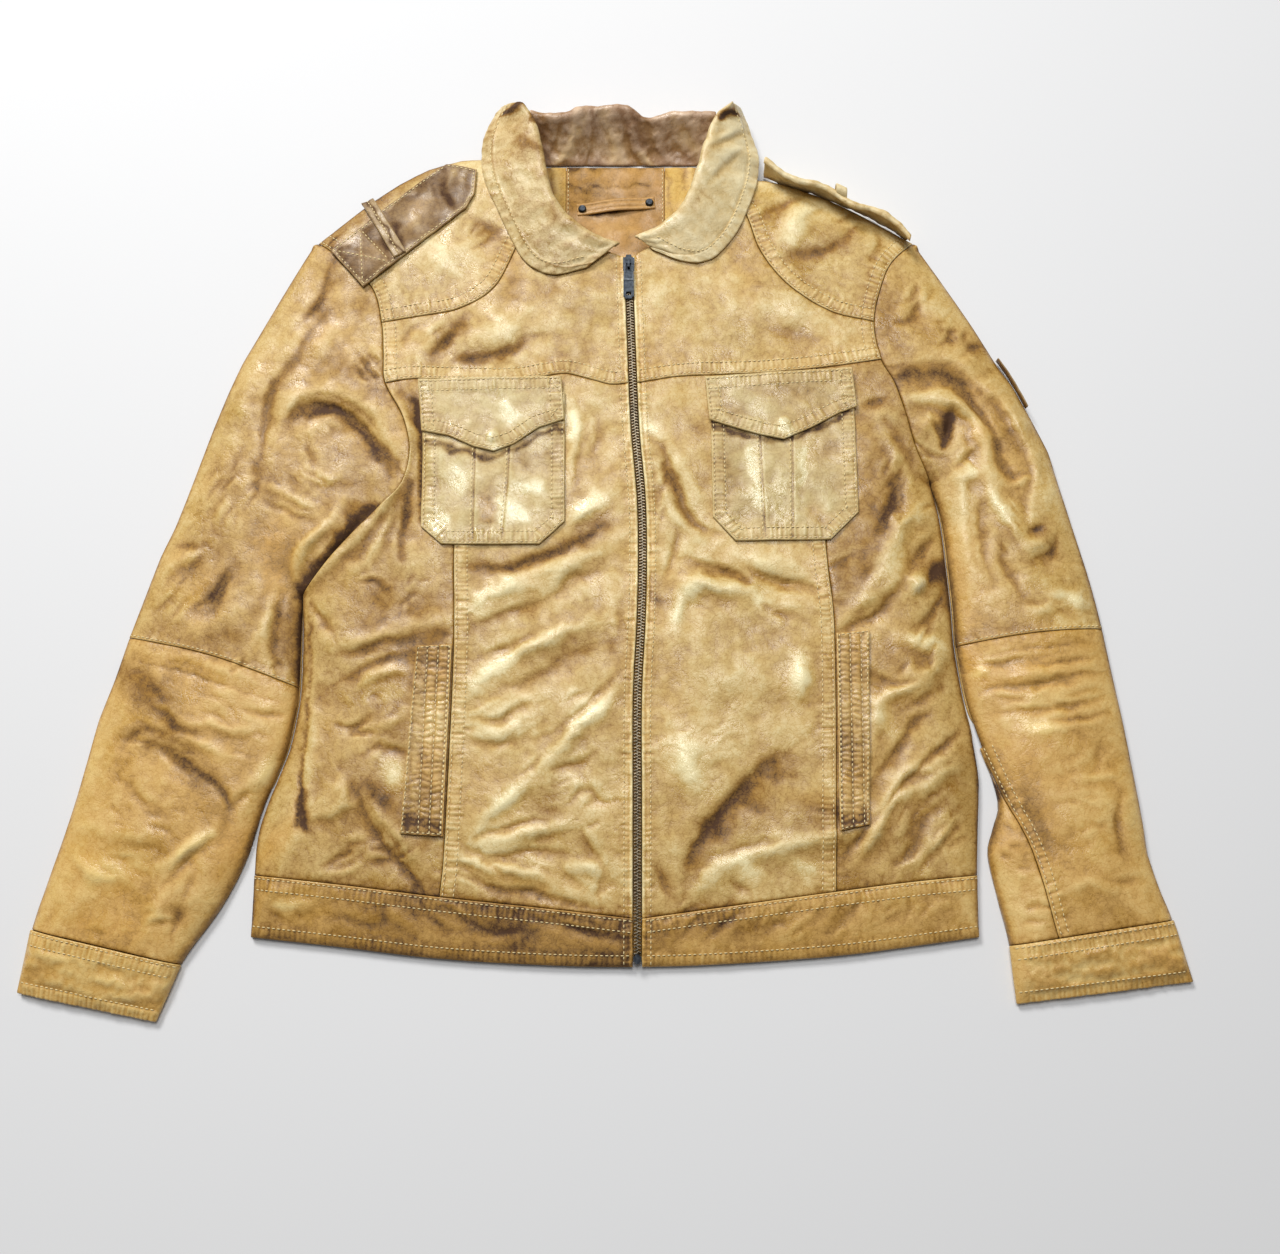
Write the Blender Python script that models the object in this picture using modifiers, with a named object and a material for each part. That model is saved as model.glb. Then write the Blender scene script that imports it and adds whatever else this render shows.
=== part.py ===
"""Worn leather jacket, zipped up and laid flat on its back, arms down.

The origin is on the floor under the middle of the outline. +X runs to the right as seen from
above with the collar at the top, +Y runs to the collar and +Z is up. In the names, L is the
side at -X and R is the side at +X. The tables and sizes are in millimetres; MM turns them
into metres. The lower layer (back, lower hem band, under sleeves) is flat on the floor. The
upper layer is draped over it at the height that lift() gives.
"""
import math

import bmesh
import bpy
from mathutils import Vector

MM = 0.001

# Driving sizes
WALL = 1.6                # leather with its lining
GAP = 0.3                 # clearance at seams and between layers
LAYER = WALL + GAP        # from the underside of one layer to the underside of the next
FULLNESS = 14.0           # how far the upper layer stands off the lower one
EDGE_REACH = 62.0         # distance over which a folded edge rounds up to the fullness
END_REACH = 150.0         # the same at the hem and the cuffs, which stay nearly flat
FULL_CUT = 2 * FULLNESS + 30   # height of the prisms that cut the panels
ZIP_HALF = 3.4            # half the width of the closed row of teeth
SLIDER_AT = (16.6, 226.5)      # the pull tab's axis, seen from above
TEETH_DEPTH = 2.2
TOOTH_SHARE = 0.92        # of the gap between the fronts that the teeth fill
ZIP_STEP = 20             # length of the zip's facets
PLATE = 1.6               # the slider's plate
BRIDGE_ROOM = 3.4         # clear height under the slider's bridge
BRIDGE_HALF = 4.8         # half the bridge's length
PULL_DROOP = 4            # degrees that the pull tab dips towards the teeth
COLLAR_CLEARANCE = 0.6    # over the faceted chest
COLLAR_CORNER_Z = 8.0     # height that the leaf ends at beyond the shoulder
FACING_WALL = 1.2
STRAP_CLEARANCE = 0.6     # of the shoulder straps, over the faceted shoulder

# Upper layer of the body, a row for each level from the hem up. y is at the sides, and
# middle_rise lifts the middle of the row towards the collar; steps divide it up to the next.
BODY_ROWS = (
    # y, x_left, x_right, middle_rise, steps
    (-320, -270, 284, -22, 2),
    (-273, -270, 285, -33, 2),
    (-240, -267, 286, -27, 1),
    (-215, -254, 287, -21, 1),
    (-195, -234, 287, -17, 2),
    (-150, -231, 283, -8, 3),
    (-95, -238, 273, 0, 2),
    (-54, -244, 272, 0, 1),
    (-34, -248, 271, 0, 2),
    (10, -250, 268, 0, 2),
    (40, -250, 262, 0, 4),
    (122, -250, 262, 0, 6),
)
TOP_ROW = (252, -246, 257)     # y, x_left, x_right at the shoulder points
BODY_COLUMNS = 23
ROW_ROUNDNESS = 0.35      # how far the rows bow (1) instead of coming to a point (0)
# The shoulder line rises from the shoulder point over its run, seen from above.
SHOULDER_RISE = {"L": (79, 135), "R": (62, 155)}

ARMHOLE = {
    "L": ((-246, 252), (-222, 232), (-196, 206), (-187, 175), (-182, 122)),
    "R": ((257, 252), (236, 230), (226, 207), (219, 176), (224, 143), (234, 123),
          (243, 93), (250, 67), (262, 40)),
}
# The left front buckles forward here and hangs over the sleeve.
BUCKLE = ((-182, 122), (-166, 92), (-160, 62), (-168, 33), (-191, 8), (-214, -17), (-244, -54))

# Sleeves, a row for each section from the shoulder down, outer fold to inner edge.
SLEEVE_UPPER = {
    "L": (
        # outer_x, outer_y, inner_x, inner_y
        (-252, 246, -240, 247),
        (-259, 233, -222, 232),
        (-273, 206, -196, 206),
        (-290, 172, -187, 175),
        (-304, 144, -184.5, 148.5),
        (-314, 118, -182, 122),
        (-324, 88, -166, 92),
        (-333, 58, -160, 62),
        (-342, 28, -168, 33),
        (-350, 3, -191, 8),
        (-360, -22, -214, -17),
        (-371, -58, -244, -54),
        (-380, -88, -243, -128),
    ),
    "R": (
        (262, 245, 250, 244.7),
        (277, 221, 236, 230),
        (291, 198, 226, 207),
        (304, 176, 219, 176),
        (323, 141, 224, 143),
        (334, 124, 234, 123),
        (350, 90, 243, 93),
        (360, 67, 250, 67),
        (366, 42, 262, 40),
        (373, 14, 270, 10),
        (385, -34, 274, -34),
        (390, -58, 276, -65),
        (394, -81, 277, -95),
    ),
}
SLEEVE_LOWER = {
    "L": (
        (-380, -88, -243, -128),
        (-389, -122, -246, -150),
        (-399, -154, -252, -176),
        (-405, -184, -260, -198),
        (-411, -213, -268, -222),
        (-418, -242, -277, -262),
        (-427, -275, -294, -298),
        (-437, -314, -322, -340),
    ),
    "R": (
        (394, -81, 277, -95),
        (399, -115, 283, -138),
        (405, -154, 294, -178),
        (412, -209, 304, -217),
        (415, -235, 299, -238),
        (417, -258, 294, -258),
        (424, -284, 300, -292),
        (432, -307, 307, -326),
    ),
}
CUFF = {
    "L": ((-437, -314, -322, -340), (-443, -361, -338, -382)),
    "R": ((432, -307, 307, -326), (443, -353, 310, -369)),
}
SLEEVE_COLUMNS = 8
# Seam in the right lower sleeve, where its underside comes round to the top.
SLEEVE_SEAM_R = ((290, -200), (306, -212), (325, -255), (341, -318), (346, -345))

# Seams and edges of the fronts
ZIP_LINE = ((24, -342), (24, -217), (24, -139), (27, -74), (28, -25), (27, 25), (22, 84),
            (19, 154), (16, 238))
HEM_SEAM_Y = -306         # of the hem seam at the zip
YOKE_Y = 122              # of the yoke seam at the zip
ZIP_TOP_Y = 234
OUTSIDE = 300             # past the lattice on both sides
# From the side seam or armhole towards the zip:
HEM_SEAM = {
    "L": ((-300, -270), (-126, -290)),
    "R": ((300, -270), (175, -286)),
}
YOKE_OUTER = {"L": ((-182, 122), (-159, 126)), "R": ((224, 143), (199, 139))}
YOKE_INNER = {"L": ((-81, 124), (-36, 130)), "R": ((125, 131), (75, 129))}
YOKE_CURVE = {
    "L": ((-187, 175), (-157, 181), (-124, 188), (-95, 207), (-77, 244), (-60, 287)),
    "R": ((219, 176), (184, 185), (151, 207), (127, 239), (113, 277), (86, 308)),
}
# From the hem up to the yoke seam:
PRINCESS = {
    "L": ((-126, -290), (-123, -247), (-120, -97), (-122, -15), (-120, 125)),
    "R": ((175, -286), (176, -239), (179, -87), (174, -13), (170, 135)),
}
# From the top of the zip to where the curved seam ends:
NECKLINE = {
    "L": ((-26, 250), (-52, 274), (-60, 287)),
    "R": ((46, 252), (72, 280), (86, 308)),
}
SHOULDER_AT_NECK = {"L": (-72, 350), "R": (98, 350)}
POCKET = {
    "L": ((-151, 114), (-149, 0), (-132, -15), (-54, -15), (-34, 4), (-35, 114)),
    "R": ((83, 118), (84, 8), (102, -12), (178, -11), (201, 12), (200, 120)),
}
FLAP = {
    "L": ((-155, 124), (-151, 80), (-128, 75), (-108, 66), (-92, 62), (-76, 68), (-56, 82),
          (-35, 89), (-38, 127)),
    "R": ((79, 126), (82, 89), (100, 83), (122, 76), (142, 72), (166, 83), (188, 95),
          (202, 100), (199, 134)),
}
WELT = {
    "L": ((-149, -97), (-121, -96), (-127, -245), (-157, -243)),
    "R": ((180, -87), (206, -84), (201, -236), (178, -241)),
}

# Folds of the upper layer: a line from start to end, its half width, and how far it lifts
# the leather (a ridge) or lets it down (a trough). zone says which lattice it is on.
FOLDS = (
    # zone, start, end, width, rise
    ("body", (-176, 112), (-158, 64), 16, 6),
    ("body", (-160, 66), (-188, 10), 17, 10),
    ("body", (-188, 10), (-240, -56), 18, 9),
    ("body", (-148, 74), (-146, -10), 11, -6),
    ("body", (-107, -100), (-6, -31), 16, 5),
    ("body", (-99, -124), (-6, -68), 13, -4),
    ("body", (-98, -145), (6, -92), 15, 4),
    ("body", (-119, -240), (-4, -285), 16, 5),
    ("body", (-104, -214), (3, -240), 14, 3),
    ("body", (-212, -202), (-141, -270), 18, 6),
    ("body", (-197, -190), (-134, -250), 13, -5),
    ("body", (-228, -76), (-167, -171), 18, 5),
    ("body", (143, -132), (64, -262), 27, -7),
    ("body", (73, -60), (98, -247), 26, 4),
    ("body", (34, 74), (74, -2), 15, -5),
    ("body", (74, -2), (165, -48), 15, -5),
    ("body", (190, -108), (254, 23), 17, 5),
    ("body", (207, -194), (266, -120), 17, 5),
    ("body", (212, -155), (258, -92), 13, -4),
    ("body", (170, -262), (262, -217), 18, 4),
    ("body", (-139, 156), (-56, 169), 18, -4),
    ("body", (-150, 158), (-60, 215), 20, 3),
    ("body", (159, 205), (108, 169), 22, -4),
    ("body", (151, 236), (205, 250), 20, -4),
    ("sleeve L", (-232, 190), (-305, 48), 22, 5),
    ("sleeve L", (-262, 86), (-224, 106), 13, -7),
    ("sleeve L", (-224, 106), (-176, 60), 13, -8),
    ("sleeve L", (-232, 66), (-190, 40), 22, 5),
    ("sleeve L", (-186, 16), (-240, -50), 20, -10),
    ("sleeve L", (-324, -27), (-255, 23), 15, 4),
    ("sleeve L", (-329, -70), (-258, -30), 15, 4),
    ("sleeve L", (-350, -209), (-275, -150), 16, 5),
    ("sleeve L", (-355, -250), (-285, -205), 16, 5),
    ("sleeve L", (-349, -230), (-276, -175), 13, -4),
    ("sleeve R", (236, 136), (311, 108), 17, 8),
    ("sleeve R", (311, 108), (348, 40), 18, 8),
    ("sleeve R", (348, 40), (352, -30), 18, 6),
    ("sleeve R", (242, 112), (298, 91), 13, -7),
    ("sleeve R", (298, 91), (325, 23), 14, -7),
    ("sleeve R", (325, 23), (322, -60), 14, -5),
    ("sleeve R", (252, 92), (290, 84), 13, 6),
    ("sleeve R", (290, 84), (300, 30), 14, 7),
    ("sleeve R", (300, 30), (286, -60), 15, 5),
    ("sleeve R", (290, -112), (385, -100), 10, -4),
    ("sleeve R", (310, -182), (385, -145), 16, 5),
)

# Collar leaves, a row for each section from the front end round to the back of the neck:
# the leaf's outer edge, the roll line at the top, and the height of the roll.
COLLAR = {
    "L": (
        # outer_x, outer_y, roll_x, roll_y, roll_z
        (-50, 220, 7, 243, 24),
        (-67, 227, -14, 248, 27),
        (-81, 249, -35, 263, 31),
        (-93, 275, -49, 284, 34),
        (-104, 302, -55, 309, 35),
        (-108, 330, -60, 334, 35),
        (-103, 355, -66, 357, 35),
        (-94, 376, -76, 374, 34),
    ),
    "R": (
        (70, 231, 27, 250, 24),
        (89, 234, 44, 254, 27),
        (104, 250, 59, 270, 31),
        (116, 275, 69, 286, 34),
        (124, 300, 77, 309, 35),
        (127, 325, 84, 332, 35),
        (121, 350, 93, 354, 35),
        (113, 375, 104, 371, 34),
    ),
}
# Back of the collar: the height of its roll dips and rises along the neck.
COLLAR_BACK = (
    # seam_x, top_x, top_y, top_z
    (-54, -62, 366, 30),
    (-34, -40, 362, 27),
    (-12, -14, 368, 31),
    (10, 12, 371, 33),
    (32, 36, 361, 27),
    (54, 62, 365, 30),
    (74, 86, 366, 31),
)
NECK_SEAM_Y = 326.6
FACING_Y = (229, 324)
FACING_X = (-37, 47)
LINING_X = (-56, 80)
RIVETS = ((-23, 284), (34, 290))
RIVET_RADIUS = 3.6

LOOP_WIDTH = 11

EPAULETTE_L = ((-139, 323), (-112, 315), (-113, 291), (-120, 277), (-203, 205), (-233, 240))
CARRIER_L = ((-209, 284), (-201, 289), (-171, 240), (-179, 234))
# Right epaulette: it has flipped up and stands on edge along the shoulder, a point for each
# bend of its lower edge. It leans over by EPAULETTE_LEAN.
EPAULETTE_R = ((132, 316.6), (148, 309.6), (165, 303.6), (185, 296.1), (205, 286.6),
               (225, 276.6), (243, 264.6), (252, 257.6))
EPAULETTE_HEIGHT = 25
EPAULETTE_LEAN = 3
CARRIER_R = ((191, 293.6), (200, 289.1))
# Plain patch on the outer fold of the right sleeve, standing on edge like the fold.
PATCH_R = ((321.6, 147.5), (329.6, 135), (337.1, 120.6), (344.1, 105.6))
PATCH_HEIGHT = 11
ZIP_BOX_Y = -336          # of the box at the zip's lower end
ZIP_BOX = (6, 7, 3.4)

# Colours: base colour (linear), roughness, metallic
TAN = ((0.60, 0.38, 0.15), 0.42, 0.0)
AMBER = ((0.52, 0.28, 0.09), 0.40, 0.0)
STRAW = ((0.66, 0.50, 0.27), 0.60, 0.0)
BROWN = ((0.27, 0.15, 0.07), 0.50, 0.0)
LINING = ((0.50, 0.32, 0.10), 0.75, 0.0)
GUNMETAL = ((0.10, 0.10, 0.10), 0.40, 1.0)


def clear_scene():
    for item in list(bpy.data.objects):
        bpy.data.objects.remove(item, do_unlink=True)


def collection(name):
    made = bpy.data.collections.new(name)
    bpy.context.scene.collection.children.link(made)
    return made


def finish_of(name, finish):
    colour, roughness, metallic = finish
    material = bpy.data.materials.new(name)
    material.use_nodes = True
    shader = material.node_tree.nodes["Principled BSDF"]
    shader.inputs["Base Color"].default_value = (*colour, 1.0)
    shader.inputs["Roughness"].default_value = roughness
    shader.inputs["Metallic"].default_value = metallic
    return material


def add_object(name, mesh, finish=None, into=None):
    """Name the mesh's object, give it its own material and put it in its collection."""
    if finish:
        mesh.materials.clear()
        mesh.materials.append(finish_of(name, finish))
    item = bpy.data.objects.new(name, mesh)
    (into or JACKET).objects.link(item)
    return item


def mesh_from(builder, name):
    """Close a bmesh off: faces out, triangles only."""
    bmesh.ops.recalc_face_normals(builder, faces=builder.faces)
    mesh = bpy.data.meshes.new(name)
    builder.to_mesh(mesh)
    builder.free()
    return mesh


def blend(a, b, t):
    return a + (b - a) * t


def path_distance(x, y, path):
    """Distance from a point to the nearest stretch of a path."""
    nearest = math.inf
    for (ax, ay), (bx, by) in zip(path, path[1:]):
        run_x, run_y = bx - ax, by - ay
        along = ((x - ax) * run_x + (y - ay) * run_y) / (run_x * run_x + run_y * run_y)
        along = min(max(along, 0.0), 1.0)
        nearest = min(nearest, math.hypot(x - ax - along * run_x, y - ay - along * run_y))
    return nearest


def inset(outline, by):
    """Move each side of a counter-clockwise outline inwards, keeping its corners mitred."""
    moved = []
    for before, here, after in zip(outline[-1:] + outline[:-1], outline, outline[1:] + outline[:1]):
        first = (Vector(here) - Vector(before)).normalized()
        second = (Vector(after) - Vector(here)).normalized()
        inward = Vector((-first.y - second.y, first.x + second.x)).normalized()
        moved.append(Vector(here) + inward * by / max(inward.dot((-first.y, first.x)), 0.35))
    return [tuple(point) for point in moved]


def counter_clockwise(outline):
    area = sum(a[0] * b[1] - b[0] * a[1] for a, b in zip(outline, outline[1:] + outline[:1]))
    return outline if area > 0 else outline[::-1]


def beside_zip(side, bottom, top):
    """The zip's line from bottom to top, moved to the edge of the front on one side."""
    shift = ZIP_HALF * (-1 if side == "L" else 1)
    levels = [bottom] + [y for _, y in ZIP_LINE if bottom < y < top] + [top]
    return [(zip_x(y) + shift, y) for y in levels]


def zip_x(y):
    for (ax, ay), (bx, by) in zip(ZIP_LINE, ZIP_LINE[1:]):
        if y <= by:
            return blend(ax, bx, (y - ay) / (by - ay))
    return ZIP_LINE[-1][0]


def shoulder_y(x):
    """The shoulder line: level at the neck, falling off to the shoulder points."""
    side = "L" if x < 5 else "R"
    y, x_left, x_right = TOP_ROW
    rise, run = SHOULDER_RISE[side]
    inward = x - x_left if side == "L" else x_right - x
    return y + rise * math.sin(math.pi / 2 * min(max(inward / run, 0.0), 1.0))


def body_levels():
    """The body's rows with their steps worked out, as (y, x_left, x_right, middle_rise)."""
    levels = []
    top = (TOP_ROW[0], TOP_ROW[1], TOP_ROW[2], 0)
    for row, following in zip(BODY_ROWS, [row[:4] for row in BODY_ROWS[1:]] + [top]):
        steps = row[4]
        for step in range(steps):
            levels.append([blend(a, b, step / steps) for a, b in zip(row[:4], following)])
    return levels + [list(top)]


def body_point(level, across):
    """A point of the body's lattice, seen from above; across runs from 0 to 1."""
    y, x_left, x_right, middle_rise = level
    eased = blend(across, 0.5 - 0.5 * math.cos(math.pi * across), 0.45)
    x = blend(x_left, x_right, eased)
    aside = abs(2 * eased - 1)
    y += middle_rise * blend(1 - aside, 1 - aside * aside, ROW_ROUNDNESS)
    shoulder_from = BODY_ROWS[-1][0]
    if y > shoulder_from:
        share = (y - shoulder_from) / (TOP_ROW[0] - shoulder_from)
        y += (shoulder_y(x) - TOP_ROW[0]) * share
    return x, y


def body_edges():
    """Folded edges of the body: both sides and both shoulders."""
    left = [(row[1], row[0]) for row in BODY_ROWS if row[0] <= -54]
    right = [(row[2], row[0]) for row in BODY_ROWS if row[0] <= 40]
    top = [body_point(body_levels()[-1], i / BODY_COLUMNS) for i in range(BODY_COLUMNS + 1)]
    return left, right, [p for p in top if p[0] < -60], [p for p in top if p[0] > 80]


def sleeve_edges(side):
    """Folded edges of a sleeve: the outer one, and the inner one below the armhole."""
    rows = SLEEVE_UPPER[side] + SLEEVE_LOWER[side][1:] + CUFF[side][1:]
    free_from = -50 if side == "L" else 42
    outer = [row[:2] for row in rows]
    return outer, [row[2:] for row in rows if row[3] < free_from]


LEFT_SIDE, RIGHT_SIDE, LEFT_SHOULDER, RIGHT_SHOULDER = body_edges()
OUTER_L, INNER_L = sleeve_edges("L")
OUTER_R, INNER_R = sleeve_edges("R")
HEM_EDGE = [body_point(BODY_ROWS[0][:4], i / 8) for i in range(9)]
EDGES = {
    # zone: edges with their reach
    "body": ((LEFT_SIDE, EDGE_REACH), (RIGHT_SIDE, EDGE_REACH), (LEFT_SHOULDER, EDGE_REACH),
             (RIGHT_SHOULDER, EDGE_REACH), (OUTER_L, EDGE_REACH), (OUTER_R, EDGE_REACH),
             (HEM_EDGE, END_REACH)),
    "sleeve L": ((LEFT_SHOULDER, EDGE_REACH), (OUTER_L, EDGE_REACH), (INNER_L, EDGE_REACH),
                 ((CUFF["L"][1][:2], CUFF["L"][1][2:]), END_REACH)),
    "sleeve R": ((RIGHT_SHOULDER, EDGE_REACH), (OUTER_R, EDGE_REACH), (INNER_R, EDGE_REACH),
                 ((CUFF["R"][1][:2], CUFF["R"][1][2:]), END_REACH)),
}


def fold_lift(x, y, start, end, width, rise):
    """A fold has a bell section that tapers to nothing at its two ends."""
    run_x, run_y = end[0] - start[0], end[1] - start[1]
    length = math.hypot(run_x, run_y)
    along = ((x - start[0]) * run_x + (y - start[1]) * run_y) / length
    aside = ((x - start[0]) * run_y - (y - start[1]) * run_x) / length
    past_end = max(-along, along - length, 0.0)
    return rise * math.exp(-(aside * aside + past_end * past_end) / (width * width))


def lift(x, y, zone):
    """Height of the upper layer's underside above the floor."""
    inside = min(path_distance(x, y, path) / reach for path, reach in EDGES[zone])
    inside = min(inside, 1.0)
    height = FULLNESS * math.sqrt(1 - (1 - inside) ** 2)
    for fold_zone, start, end, width, rise in FOLDS:
        if fold_zone == zone:
            height += min(inside / 0.4, 1.0) * fold_lift(x, y, start, end, width, rise)
    return LAYER + max(height, 0.0)


def sheet(points, wall, raised=0.0):
    """A draped sheet of even depth through a lattice of points, as a closed bmesh."""
    rows, columns = len(points), len(points[0])
    builder = bmesh.new()
    bmesh.ops.create_grid(builder, x_segments=columns - 1, y_segments=rows - 1, size=0.5)
    for vert in builder.verts:
        column = round((vert.co.x + 0.5) * (columns - 1))
        row = round((vert.co.y + 0.5) * (rows - 1))
        vert.co = Vector(points[row][column]) * MM + Vector((0, 0, raised * MM))
    bmesh.ops.triangulate(builder, faces=builder.faces, quad_method="FIXED")
    upper = bmesh.ops.extrude_face_region(builder, geom=builder.faces[:])["geom"]
    moved = [part for part in upper if isinstance(part, bmesh.types.BMVert)]
    bmesh.ops.translate(builder, verts=moved, vec=(0, 0, wall * MM))
    return builder


def prism(outline, low, high):
    """A flat outline between two heights, as a mesh: a filled 2D curve, welded."""
    curve = bpy.data.curves.new("outline", "CURVE")
    curve.dimensions = "2D"
    curve.fill_mode = "BOTH"
    curve.extrude = (high - low) / 2 * MM
    spline = curve.splines.new("POLY")
    spline.points.add(len(outline) - 1)
    for point, (x, y) in zip(spline.points, outline):
        point.co = (x * MM, y * MM, 0, 1)
    spline.use_cyclic_u = True
    guide = bpy.data.objects.new("outline", curve)
    JACKET.objects.link(guide)
    evaluated = guide.evaluated_get(bpy.context.evaluated_depsgraph_get())
    builder = bmesh.new()
    builder.from_mesh(bpy.data.meshes.new_from_object(evaluated))
    bpy.data.objects.remove(guide)
    bmesh.ops.remove_doubles(builder, verts=builder.verts, dist=0.01 * MM)
    bmesh.ops.translate(builder, verts=builder.verts, vec=(0, 0, (low + high) / 2 * MM))
    return mesh_from(builder, "outline")


def flat_panel(name, outline, low, finish, wall=WALL):
    """A panel that lies flat, half a gap inside its outline."""
    outline = inset(counter_clockwise(list(outline)), GAP / 2)
    return add_object(name, prism(outline, low, low + wall), finish)


def cut_panel(name, points, outline, finish, wall=WALL, raised=0.0):
    """A panel cut from a draped lattice, half a gap inside its outline."""
    piece = add_object(name, mesh_from(sheet(points, wall, raised), name), finish)
    outline = inset(counter_clockwise(list(outline)), GAP / 2)
    cutter = add_object(name + ".outline", prism(outline, -1, FULL_CUT), None, CUTTERS)
    cutter.hide_render = True
    cutter.display_type = "WIRE"
    boolean = piece.modifiers.new("cut to outline", "BOOLEAN")
    boolean.operation = "INTERSECT"
    boolean.solver = "EXACT"
    boolean.object = cutter
    return piece


def draped(rows, columns, zone, place):
    """Lattice points with their height: place gives x and y from a row and a share across."""
    lattice = []
    for row in rows:
        flat = [place(row, column / columns) for column in range(columns + 1)]
        lattice.append([(x, y, lift(x, y, zone)) for x, y in flat])
    return lattice


def body_lattice():
    return draped(body_levels(), BODY_COLUMNS, "body", body_point)


def part_of(lattice, outline):
    """The rows of a lattice that an outline reaches, so that each cut stays small."""
    low = min(y for _, y in outline)
    high = max(y for _, y in outline)
    reached = [i for i, row in enumerate(lattice)
               if max(p[1] for p in row) > low and min(p[1] for p in row) < high]
    first, last = max(reached[0] - 1, 0), min(reached[-1] + 1, len(lattice) - 1)
    return lattice[first:last + 1]


def trimmed(rows):
    """Sections pulled back from the armhole's edge and from both end seams."""
    shorter = []
    for outer_x, outer_y, inner_x, inner_y in rows:
        back = GAP / math.hypot(outer_x - inner_x, outer_y - inner_y)
        inner_x = blend(inner_x, outer_x, back)
        inner_y = blend(inner_y, outer_y, back)
        shorter.append([outer_x, outer_y, inner_x, inner_y])
    for row, shift in ((shorter[0], -GAP), (shorter[-1], GAP)):
        row[1] += shift
        row[3] += shift
    return shorter


def sleeve_point(row, across):
    outer_x, outer_y, inner_x, inner_y = row
    return blend(outer_x, inner_x, across), blend(outer_y, inner_y, across)


def sleeve_lattice(side, rows):
    return draped(rows, SLEEVE_COLUMNS, "sleeve " + side, sleeve_point)


def section_outline(rows):
    return [row[:2] for row in rows] + [row[2:] for row in reversed(rows)]


def front_outlines(side):
    """Outlines of one half's panels, from the hem band to the shoulder."""
    sign = -1 if side == "L" else 1
    armhole = ARMHOLE[side]
    above_yoke = [p for p in armhole if p[1] > YOKE_CURVE[side][0][1]]
    flank_edge = list(BUCKLE[1:]) if side == "L" else [p for p in armhole if p[1] < 130]
    zip_bottom = zip_x(HEM_SEAM_Y) + sign * ZIP_HALF
    princess = list(PRINCESS[side])
    return {
        "front_centre_": (
            beside_zip(side, HEM_SEAM_Y, YOKE_Y) + list(YOKE_INNER[side][::-1])
            + princess[::-1]),
        "front_side_": (
            princess + list(YOKE_OUTER[side][::-1]) + flank_edge
            + [(sign * OUTSIDE, flank_edge[-1][1] - 2), HEM_SEAM[side][0]]),
        "chest_": (
            beside_zip(side, YOKE_Y, ZIP_TOP_Y) + list(NECKLINE[side])
            + list(YOKE_CURVE[side][-2::-1]) + list(YOKE_OUTER[side]) + list(YOKE_INNER[side])),
        "shoulder_": (
            list(YOKE_CURVE[side]) + [SHOULDER_AT_NECK[side], (sign * OUTSIDE, 350)]
            + above_yoke),
        "hem_band_front_": (
            [(zip_bottom, HEM_SEAM_Y)] + list(HEM_SEAM[side][::-1])
            + [(sign * OUTSIDE, -360), (zip_bottom, -360)]),
    }


def make_fronts(side, lattice):
    colours = {"chest_": TAN, "shoulder_": STRAW, "hem_band_front_": AMBER}
    for name, outline in front_outlines(side).items():
        cut_panel(name + side, part_of(lattice, outline), outline, colours.get(name, TAN))


def make_pockets(side, lattice):
    """Patch pocket, its flap over it, and the quilted welt of the lower pocket."""
    for name, outline, layers in (("pocket_", POCKET[side], 1), ("flap_", FLAP[side], 2),
                                  ("welt_", WELT[side], 1)):
        cut_panel(name + side, part_of(lattice, outline), outline, STRAW, raised=layers * LAYER)


def make_sleeve(side):
    """Top sheet above and below the elbow seam, and the sheet on the floor."""
    upper, lower = SLEEVE_UPPER[side], SLEEVE_LOWER[side]
    mesh = mesh_from(sheet(sleeve_lattice(side, trimmed(upper)), WALL), "sleeve")
    add_object("sleeve_upper_" + side, mesh, TAN)
    lattice = sleeve_lattice(side, trimmed(lower))
    if side == "L":
        add_object("sleeve_lower_L", mesh_from(sheet(lattice, WALL), "sleeve"), AMBER)
    else:
        seam = list(SLEEVE_SEAM_R)
        inner = [(250, -200)] + seam + [(250, -345)]
        outer = [(250, -80), (250, -200)] + seam + [(460, -345), (460, -80)]
        cut_panel("sleeve_lower_R", lattice, outer, AMBER)
        cut_panel("sleeve_lower_inner_R", lattice, inner, AMBER)
    flat_panel("sleeve_under_" + side, section_outline(upper + lower[1:]), 0, AMBER)


def ring_band(name, stations, finish):
    """A flattened tube: a closed wall around each station's (outer ring, inner ring)."""
    builder = bmesh.new()
    made = []
    for outer, inner in stations:
        made.append([[builder.verts.new(Vector(p) * MM) for p in ring] for ring in (outer, inner)])
    count = len(made[0][0])
    for i in range(count):
        j = (i + 1) % count
        for near, far in zip(made, made[1:]):
            for ring in (0, 1):
                builder.faces.new((near[ring][i], near[ring][j], far[ring][j], far[ring][i]))
        for end in (made[0], made[-1]):
            builder.faces.new((end[0][i], end[0][j], end[1][j], end[1][i]))
    bmesh.ops.triangulate(builder, faces=builder.faces)
    return add_object(name, mesh_from(builder, name), finish)


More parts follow.
